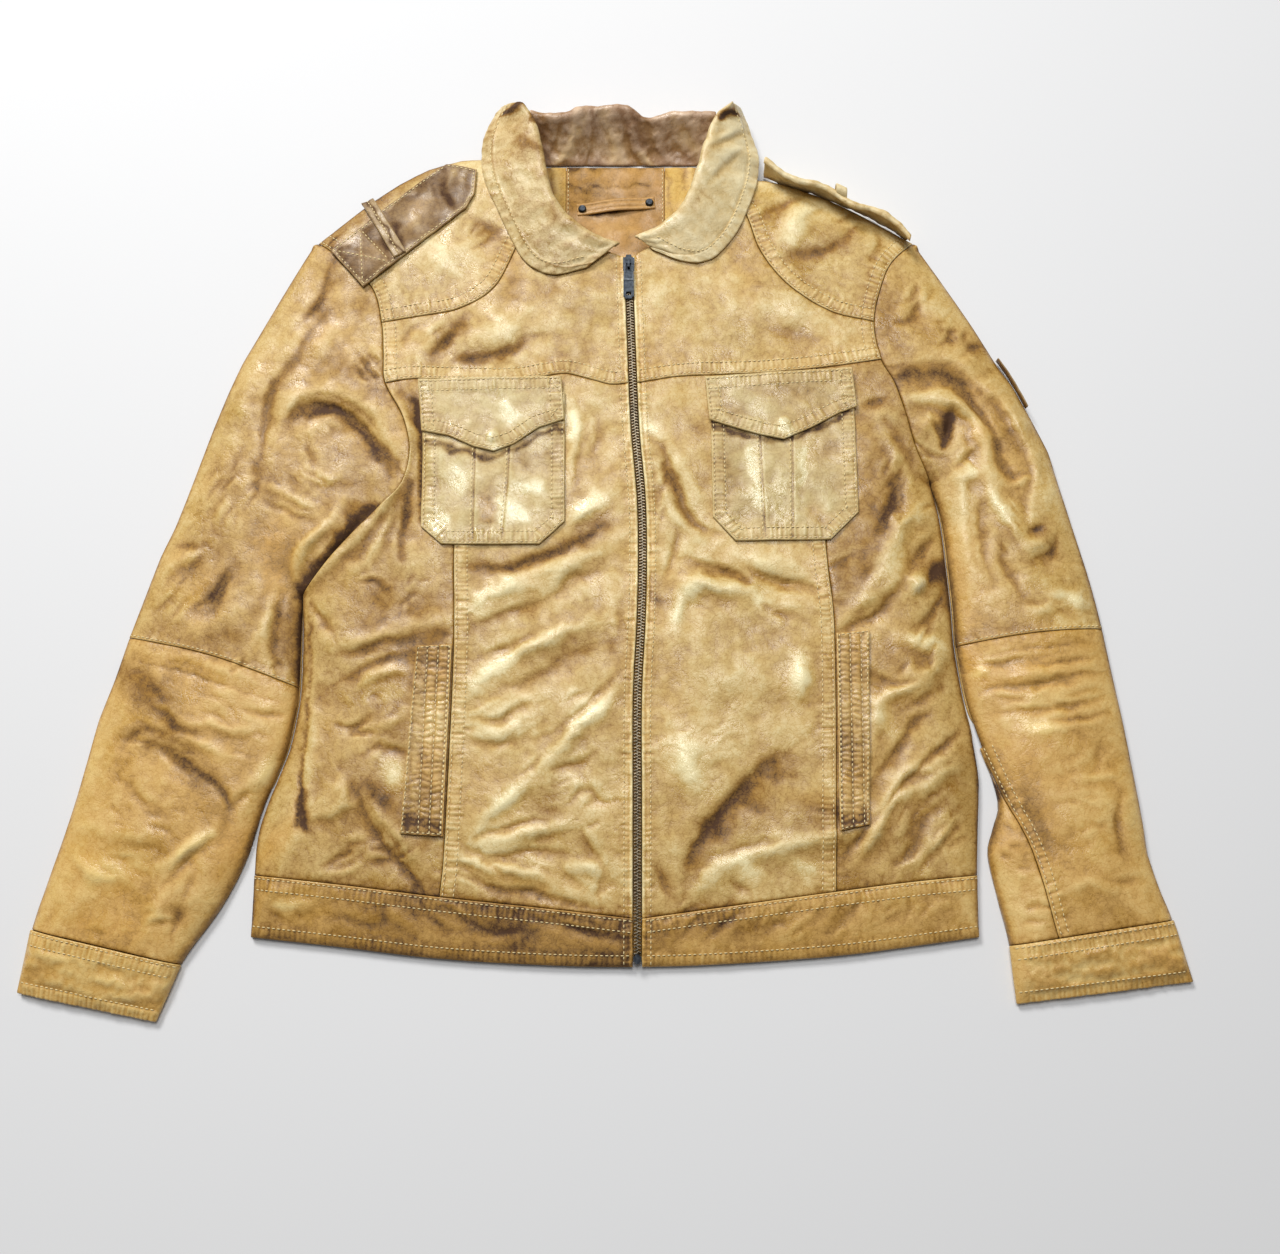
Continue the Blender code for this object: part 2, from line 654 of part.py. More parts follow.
def make_cuff(side):
    """The cuff is one band sewn into a ring, pressed flat."""
    (top, end) = CUFF[side]
    rows = [[blend(a, b, t) for a, b in zip(top, end)] for t in (0, 0.33, 0.67, 1)]
    rows[0][1] -= GAP
    rows[0][3] -= GAP
    stations = []
    for row in rows:
        flat = [sleeve_point(row, i / SLEEVE_COLUMNS) for i in range(SLEEVE_COLUMNS + 1)]
        heights = [lift(x, y, "sleeve " + side) for x, y in flat]
        upper = [(x, y, z) for (x, y), z in zip(flat, heights)]
        lower = [(x, y, WALL) for x, y in reversed(flat)]
        outward = (Vector(flat[0]) - Vector(flat[-1])).normalized() * WALL
        over = [(x, y, z + WALL) for x, y, z in upper]
        under = [(x, y, 0) for x, y, _ in lower]
        for ring_points, shift in ((over, 0), (under, -1)):
            for k, direction in ((shift, 1), (-1 - shift, -1)):
                x, y, z = ring_points[k]
                ring_points[k] = (x + direction * outward.x, y + direction * outward.y, z)
        stations.append((over + under, upper + lower))
    ring_band("cuff_" + side, stations, AMBER)


def make_lower_layer():
    """The back and its hem band lie on the floor, with the neck's facing on them."""
    levels = body_levels()
    hem_row = [body_point(BODY_ROWS[0][:4], i / 6) for i in range(7)]
    seam = [(BODY_ROWS[1][1], -273), (24, HEM_SEAM_Y), (BODY_ROWS[1][2], -273)]
    top_row = [body_point(levels[-1], i / BODY_COLUMNS) for i in range(BODY_COLUMNS, -1, -1)]
    neck = [(86, 326), (-66, 326)]
    right = [p for p in RIGHT_SIDE if p[1] > -273] + list(ARMHOLE["R"][-2::-1])[:-1]
    left = list(ARMHOLE["L"][1:]) + list(BUCKLE[1:]) + [p for p in LEFT_SIDE if p[1] > -273][-2::-1]
    shoulders_r = [p for p in top_row if p[0] > 90]
    shoulders_l = [p for p in top_row if p[0] < -70]
    outline = seam + right + shoulders_r + neck + shoulders_l + left
    flat_panel("back", outline, 0, TAN)
    flat_panel("hem_band_back", hem_row + seam[::-1], 0, AMBER)
    low, high = FACING_Y
    left_x, right_x = FACING_X
    for name, x_from, x_to, finish in (("neck_facing", left_x, right_x, AMBER),
                                       ("lining_L", LINING_X[0], left_x, LINING),
                                       ("lining_R", right_x, LINING_X[1], LINING)):
        outline = [(x_from, low), (x_to, low), (x_to, high), (x_from, high)]
        flat_panel(name, outline, LAYER, finish, wall=FACING_WALL)


def make_zip():
    """Closed row of teeth, the slider at its top and the pull tab that turns on it."""
    low, high = ZIP_BOX_Y + ZIP_BOX[1] / 2 + GAP, SLIDER_AT[1] - 8
    steps = round((high - low) / ZIP_STEP)
    levels = [blend(low, high, step / steps) for step in range(steps + 1)]
    strip = draped(levels, 1, "body", lambda y, across: (zip_x(y) + ZIP_HALF * TOOTH_SHARE
                                                        * (2 * across - 1), y))
    add_object("zip_chain", mesh_from(sheet(strip, TEETH_DEPTH), "zip_chain"), GUNMETAL)
    x = zip_x(ZIP_BOX_Y)
    rest = lift(x, ZIP_BOX_Y, "body")
    box("zip_box", (x, ZIP_BOX_Y, rest + ZIP_BOX[2] / 2), ZIP_BOX, GUNMETAL, 1.5)
    make_slider()
    make_pull_tab()


def box(name, centre, size, finish, round_by=0.0):
    """A box as a mesh object: centre and size in millimetres."""
    builder = bmesh.new()
    bmesh.ops.create_cube(builder, size=1)
    bmesh.ops.scale(builder, verts=builder.verts, vec=Vector(size) * MM)
    bmesh.ops.translate(builder, verts=builder.verts, vec=Vector(centre) * MM)
    if round_by:
        upright = [e for e in builder.edges if abs(e.verts[0].co.z - e.verts[1].co.z) > 0.1 * MM]
        bmesh.ops.bevel(builder, geom=upright, offset=round_by * MM, segments=3, affect="EDGES")
    return add_object(name, mesh_from(builder, name), finish)


def join_solids(base, *others):
    """Union pieces that touch into one solid."""
    for other in others:
        union = base.modifiers.new("join " + other.name, "BOOLEAN")
        union.operation = "UNION"
        union.solver = "EXACT"
        union.object = other
        CUTTERS.objects.link(other)
        JACKET.objects.unlink(other)
        other.hide_render = True
        other.display_type = "WIRE"
    return base


def slider_floor():
    """Height that the slider rests at, above the teeth."""
    x, y = SLIDER_AT
    return max(lift(x, y + step, "body") for step in (-8, 0, 8)) + TEETH_DEPTH + GAP


def make_slider():
    """The slider's plate with a bridge along the zip, under which the pull tab's bar turns."""
    x, y = SLIDER_AT
    low = slider_floor()
    plate = box("zip_slider", (x, y, low + PLATE / 2), (9.4, 16, PLATE), GUNMETAL, 2.5)
    top = low + PLATE
    beam_z = top + BRIDGE_ROOM
    posts = [box("bridge post %d" % (side + 1),
                 (x, y + side * (BRIDGE_HALF - 0.7), top + BRIDGE_ROOM / 2),
                 (1.8, 1.4, BRIDGE_ROOM + 0.8), GUNMETAL) for side in (-1, 1)]
    beam = box("bridge beam", (x, y, beam_z + 0.5), (1.8, 2 * BRIDGE_HALF, 1.2), GUNMETAL)
    join_solids(plate, beam, *posts)


def make_pull_tab():
    """The pull tab: two arms astride the bridge, a bar under it and a grip with a slot."""
    x, y = SLIDER_AT
    axis = Vector((x, y, slider_floor() + PLATE + BRIDGE_ROOM / 2 - 0.1))
    bar = box("pull_tab", (0, 0, 0), (7.4, 1.3, 1.3), GUNMETAL)
    arms = [box("pull arm %d" % (side + 1), (side * 2.9, -4.4, 0), (1.6, 9.8, 1.3), GUNMETAL)
            for side in (-1, 1)]
    grip = box("pull grip", (0, -19.8, 0), (8.6, 23, 1.3), GUNMETAL, 1.6)
    join_solids(bar, grip, *arms)
    slot = box("pull slot", (0, -27.0, 0), (4.2, 3.2, 4), GUNMETAL)
    cut = bar.modifiers.new("slot in the grip", "BOOLEAN")
    cut.operation = "DIFFERENCE"
    cut.solver = "EXACT"
    cut.object = slot
    CUTTERS.objects.link(slot)
    JACKET.objects.unlink(slot)
    slot.hide_render = True
    slot.display_type = "WIRE"
    hinge = bpy.data.objects.new("pull tab hinge", None)
    hinge.location = axis * MM
    hinge.rotation_euler = (math.radians(PULL_DROOP), 0, 0)
    JACKET.objects.link(hinge)
    for item in (bar, grip, slot, *arms):
        item.parent = hinge


def hooked_sheet(name, sections, finish, wall=WALL):
    """An open sheet through sections, thickened outwards: the collar and standing straps."""
    rows, columns = len(sections), len(sections[0])
    builder = bmesh.new()
    bmesh.ops.create_grid(builder, x_segments=columns - 1, y_segments=rows - 1, size=0.5)
    for vert in builder.verts:
        column = round((vert.co.x + 0.5) * (columns - 1))
        row = round((vert.co.y + 0.5) * (rows - 1))
        vert.co = Vector(sections[row][column]) * MM
    bmesh.ops.triangulate(builder, faces=builder.faces)
    mesh = bpy.data.meshes.new(name)
    builder.to_mesh(mesh)
    builder.free()
    piece = add_object(name, mesh, finish)
    solid = piece.modifiers.new("leather", "SOLIDIFY")
    solid.thickness = wall * MM
    solid.offset = 0
    solid.use_even_offset = False
    return piece


def make_collar(side):
    """A leaf that slopes up from the chest to the roll, and the stand inside the roll."""
    sign = -1 if side == "L" else 1
    rows = [COLLAR[side][0]]
    for row, following in zip(COLLAR[side], COLLAR[side][1:]):
        rows += [[blend(a, b, 0.5) for a, b in zip(row, following)], following]
    sections = []
    for outer_x, outer_y, roll_x, roll_y, roll_z in rows:
        rest = lift(outer_x, outer_y, "body") if outer_y < 328 else COLLAR_CORNER_Z
        low = rest + WALL + GAP + WALL / 2 + COLLAR_CLEARANCE
        out = Vector((outer_x - roll_x, outer_y - roll_y)).normalized()
        section = []
        for share, rise in ((1, 0), (0.72, 0.34), (0.45, 0.64), (0.2, 0.88)):
            section.append((blend(roll_x, outer_x, share), blend(roll_y, outer_y, share),
                            blend(low, roll_z, rise)))
        section.append((roll_x + out.x * 1.5, roll_y + out.y * 1.5, roll_z))
        section.append((roll_x - out.x * 1.5, roll_y - out.y * 1.5, roll_z - 2.5))
        section.append((roll_x - out.x * 0.5, roll_y - out.y * 0.5, blend(low, roll_z, 0.45)))
        section.append((roll_x + out.x * 3.0, roll_y + out.y * 3.0, low + 1.0))
        sections.append(section)
    return hooked_sheet("collar_" + side, sections, STRAW)


def make_collar_back():
    """The stand's dark inside rises to the roll, and the leaf hangs down behind it."""
    sections = []
    rows = [COLLAR_BACK[0]]
    for row, following in zip(COLLAR_BACK, COLLAR_BACK[1:]):
        rows += [[blend(a, b, 0.5) for a, b in zip(row, following)], following]
    foot = WALL / 2 + GAP
    for seam_x, top_x, top_y, top_z in rows:
        section = []
        for share, rise in ((0, 0), (0.3, 0.18), (0.62, 0.52), (0.88, 0.88), (1, 1)):
            section.append((blend(seam_x, top_x, share), blend(NECK_SEAM_Y, top_y, share),
                            blend(foot, top_z, rise)))
        section += [(top_x, top_y + 3.5, top_z - 2), (top_x, top_y + 6, top_z * 0.55),
                    (top_x, top_y + 6, 3)]
        sections.append(section)
    hooked_sheet("collar_back", sections, BROWN)


def make_hanger_loop():
    """A strap that bows up off the facing, under a rivet at each end."""
    (ax, ay), (bx, by) = RIVETS
    floor = LAYER + FACING_WALL + GAP
    across = Vector((ay - by, bx - ax)).normalized() * LOOP_WIDTH / 2
    sections = []
    for step in range(9):
        along = blend(-0.08, 1.08, step / 8)
        x, y = blend(ax, bx, along), blend(ay, by, along)
        z = floor + 0.6 + 3.0 * math.sin(math.pi * min(max(along, 0), 1)) ** 2
        sections.append([(x + side * across.x, y + side * across.y, z) for side in (-1, 0, 1)])
    hooked_sheet("hanger_loop", sections, AMBER, wall=1.2)
    for name, (x, y) in zip(("rivet_L", "rivet_R"), RIVETS):
        builder = bmesh.new()
        bmesh.ops.create_cone(builder, cap_ends=True, segments=16, radius1=RIVET_RADIUS * MM,
                              radius2=0.7 * RIVET_RADIUS * MM, depth=1.8 * MM)
        bmesh.ops.translate(builder, verts=builder.verts, vec=Vector((x, y, floor + 2.9)) * MM)
        add_object(name, mesh_from(builder, name), GUNMETAL)


def standing_strip(name, path, low, high, lean, finish, wall):
    """A strip on edge along a path, leaning towards -Y and -X at its top."""
    sections = []
    for x, y in path:
        sections.append([(x - lean * share * 0.5, y - lean * share, blend(low, high, share))
                         for share in (0, 0.5, 1)])
    return hooked_sheet(name, sections, finish, wall)


def make_shoulder_straps(lattice):
    """Epaulettes with their carriers: the left one lies flat, the right one stands on edge."""
    for name, outline, layers in (("epaulette_L", EPAULETTE_L, 1), ("carrier_L", CARRIER_L, 2)):
        cut_panel(name, part_of(lattice, outline), outline, BROWN,
                  raised=layers * (LAYER + STRAP_CLEARANCE))
    low = WALL + 1
    high = low + EPAULETTE_HEIGHT
    standing_strip("epaulette_R", EPAULETTE_R, low, high, EPAULETTE_LEAN, STRAW, 2.2)
    around = []
    for x, y in CARRIER_R:
        around.append([(x, y + 3, low), (x - 1.4, y + 1.2, high - 1),
                       (x - 1.5, y - 2.8, high + 3), (x - 1.4, y - 7, high - 1),
                       (x - 1.0, y - 5.6, high - 9)])
    hooked_sheet("carrier_R", around, STRAW, wall=1.4)
    standing_strip("sleeve_patch_R", PATCH_R, WALL + 1, WALL + 1 + PATCH_HEIGHT, 2.2, BROWN, 1.4)


clear_scene()
JACKET = collection("leather_jacket")
CUTTERS = collection("cutters")
BODY = body_lattice()
make_lower_layer()
for SIDE in "LR":
    make_fronts(SIDE, BODY)
    make_pockets(SIDE, BODY)
    make_sleeve(SIDE)
    make_cuff(SIDE)
    make_collar(SIDE)
make_collar_back()
make_hanger_loop()
make_shoulder_straps(BODY)
make_zip()
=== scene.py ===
"""Worn tan leather jacket, zipped up and laid flat on its back.

The tables are in millimetres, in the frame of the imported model: +X to the right as seen from
above with the collar at the top, +Y to the collar, +Z up. L is the side at -X, R at +X.
"""
import math

import bpy
import numpy as np
from mathutils.bvhtree import BVHTree
from mathutils.geometry import delaunay_2d_cdt
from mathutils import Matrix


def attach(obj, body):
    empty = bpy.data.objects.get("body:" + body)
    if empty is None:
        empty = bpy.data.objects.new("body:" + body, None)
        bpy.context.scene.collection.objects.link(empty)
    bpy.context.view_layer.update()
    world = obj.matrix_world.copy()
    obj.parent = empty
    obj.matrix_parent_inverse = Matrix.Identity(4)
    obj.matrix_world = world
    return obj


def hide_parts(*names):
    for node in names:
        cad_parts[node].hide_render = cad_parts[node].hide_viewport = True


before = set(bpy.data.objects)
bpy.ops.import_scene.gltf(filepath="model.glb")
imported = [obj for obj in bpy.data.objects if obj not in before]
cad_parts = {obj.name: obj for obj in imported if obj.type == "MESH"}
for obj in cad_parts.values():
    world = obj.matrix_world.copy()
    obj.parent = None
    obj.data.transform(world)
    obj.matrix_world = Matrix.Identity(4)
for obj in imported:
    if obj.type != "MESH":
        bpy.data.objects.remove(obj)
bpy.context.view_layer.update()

# ---------------------------------------------------------------------------------------
# Floor, light and camera. A plain pale floor under a soft window light from the upper left,
# a large soft lamp overhead and an even world; the camera looks down from 12 degrees off
# the vertical.
# ---------------------------------------------------------------------------------------
for item in bpy.context.selected_objects:
    item.select_set(False)
scene = bpy.context.scene
scene.view_settings.view_transform = "Standard"


def blank(name):
    """A new material with its nodes, links and shader."""
    material = bpy.data.materials.new(name)
    material.use_nodes = True
    nodes = material.node_tree.nodes
    return material, nodes, material.node_tree.links, nodes["Principled BSDF"]


bpy.ops.mesh.primitive_plane_add(size=12, location=(0, 0, -0.0004))
floor = bpy.context.object
floor.name = "floor"
floor_paint, _, _, floor_shader = blank("pale floor")
floor_shader.inputs["Base Color"].default_value = (0.74, 0.75, 0.77, 1)
floor_shader.inputs["Roughness"].default_value = 0.7
floor.data.materials.append(floor_paint)

LAMPS = (
    # name, place (m), turned (degrees), size (m), power (W), colour
    ("window", (-1.5, 2.7, 2.7), (-48, -22, 0), 1.1, 128, (1.0, 0.985, 0.96)),
    ("overhead", (0.0, 0.75, 2.6), (-16, 0, 0), 1.1, 37, (1.0, 0.995, 0.985)),
)
for name, place, turned, size, power, colour in LAMPS:
    bpy.ops.object.light_add(type="AREA", location=place,
                             rotation=[math.radians(angle) for angle in turned])
    lamp = bpy.context.object
    lamp.name = name
    lamp.data.size = size
    lamp.data.energy = power
    lamp.data.color = colour
world = bpy.data.worlds.new("soft room")
scene.world = world
world.use_nodes = True
world.node_tree.nodes["Background"].inputs["Color"].default_value = (1.0, 0.98, 0.95, 1)
world.node_tree.nodes["Background"].inputs["Strength"].default_value = 0.16

VIEW_TILT = math.radians(12)
VIEW_AIM = (0.026, -0.078)
VIEW_REACH = 1.108
bpy.ops.object.camera_add(
    location=(VIEW_AIM[0], VIEW_AIM[1] - VIEW_REACH * math.sin(VIEW_TILT),
              VIEW_REACH * math.cos(VIEW_TILT)),
    rotation=(VIEW_TILT, 0, 0))
camera = bpy.context.object
camera.data.lens = 39
camera.data.sensor_width = 36
camera.data.clip_start = 0.01
scene.camera = camera

# ---------------------------------------------------------------------------------------
# Lower layer: the back, its hem band and the undersides of the sleeves. Lined sheep leather
# that lies flat on the floor; only its edges show where the upper layer stops short.
# ---------------------------------------------------------------------------------------
MM = 0.001
WALL = 1.6             # one panel with its lining
GAP = 0.3              # between two layers, and between two panels at a seam
LAYER = WALL + GAP
FULLNESS = 14.0        # how high the upper layer stands over the lower one
EDGE_REACH = 62.0      # how far in from a folded edge it has risen to that
END_REACH = 150.0      # the same from the hem and from the end of a sleeve

# Outer folds of the body and the sleeves, from the hem or the cuff up
SIDE_L = ((-270, -320), (-270, -273), (-269, -245), (-263.5, -222), (-255, -198), (-247.5, -176),
          (-243, -150), (-241, -128), (-241.5, -95), (-244, -54))
SIDE_R = ((284, -320), (285, -273), (287, -240), (289, -215), (289.5, -195), (285, -160),
          (280.5, -138), (275.2, -95), (274, -65), (272, -34), (268.5, 10), (262, 40))
HEM_EDGE = ((-270, -320), (-205, -327), (-126, -336), (-40, -341), (24, -342), (90, -340),
            (175, -334), (240, -326), (284, -320))
SHOULDER_L = ((-246, 252), (-226, 270), (-203, 290), (-179, 307.5), (-155, 321),
              (-127, 329.6), (-104, 331), (-72, 331))
SHOULDER_R = ((257, 252), (235, 265.7), (211, 280), (186, 293), (160, 303.6), (135, 310.6),
              (98, 314))
ARMHOLE = {
    # armhole seam, then the edge over or beside the sleeve
    "L": ((-246, 252), (-222, 232), (-196, 206), (-187, 175), (-184.5, 148.5), (-182, 122),
          (-166, 92), (-160, 62), (-168, 33), (-191, 8), (-214, -17), (-244, -54)),
    "R": ((257, 252), (236, 230), (226, 207), (219, 176), (224, 143), (234, 123), (243, 93),
          (250, 67), (262, 40)),
}
SLEEVE_OUTER = {
    "L": ((-252, 246), (-259, 233), (-273, 206), (-290, 172), (-304, 144), (-314, 118),
          (-324, 88), (-333, 58), (-342, 28), (-350, 3), (-360, -22), (-371, -58), (-380, -88),
          (-389, -122), (-399, -154), (-405, -184), (-411, -213), (-418, -242), (-427, -275),
          (-437, -314), (-443, -361)),
    "R": ((262, 245), (277, 221), (291, 198), (304, 176), (323, 141), (334, 124), (350, 90),
          (360, 67), (366, 42), (373, 14), (385, -34), (390, -58), (394, -81), (399, -115),
          (405, -154), (412, -209), (415, -235), (417, -258), (424, -284), (432, -307),
          (443, -353)),
}
SLEEVE_INNER = {
    "L": ((-244, -54), (-243, -128), (-245, -150), (-249.5, -176), (-257, -198), (-266, -222),
          (-277, -262), (-294, -298), (-322, -340), (-338, -382)),
    "R": ((262, 40), (270, 10), (274, -34), (276, -65), (277, -95), (283, -138), (294, -178),
          (304, -217), (299, -238), (294, -258), (300, -292), (307, -326), (310, -369)),
}
SLEEVE_END = {side: (SLEEVE_OUTER[side][-1], SLEEVE_INNER[side][-1]) for side in "LR"}
EDGES = {
    # zone: the edges that the upper layer rounds down to, with their reach
    "body": ((SIDE_L, EDGE_REACH), (SIDE_R, EDGE_REACH), (SHOULDER_L, EDGE_REACH),
             (SHOULDER_R, EDGE_REACH), (SLEEVE_OUTER["L"], EDGE_REACH),
             (SLEEVE_OUTER["R"], EDGE_REACH), (HEM_EDGE, END_REACH)),
    "sleeve L": ((SHOULDER_L, EDGE_REACH), (SLEEVE_OUTER["L"], EDGE_REACH),
                 (SLEEVE_INNER["L"], EDGE_REACH), (SLEEVE_END["L"], END_REACH)),
    "sleeve R": ((SHOULDER_R, EDGE_REACH), (SLEEVE_OUTER["R"], EDGE_REACH),
                 (SLEEVE_INNER["R"], EDGE_REACH), (SLEEVE_END["R"], END_REACH)),
}

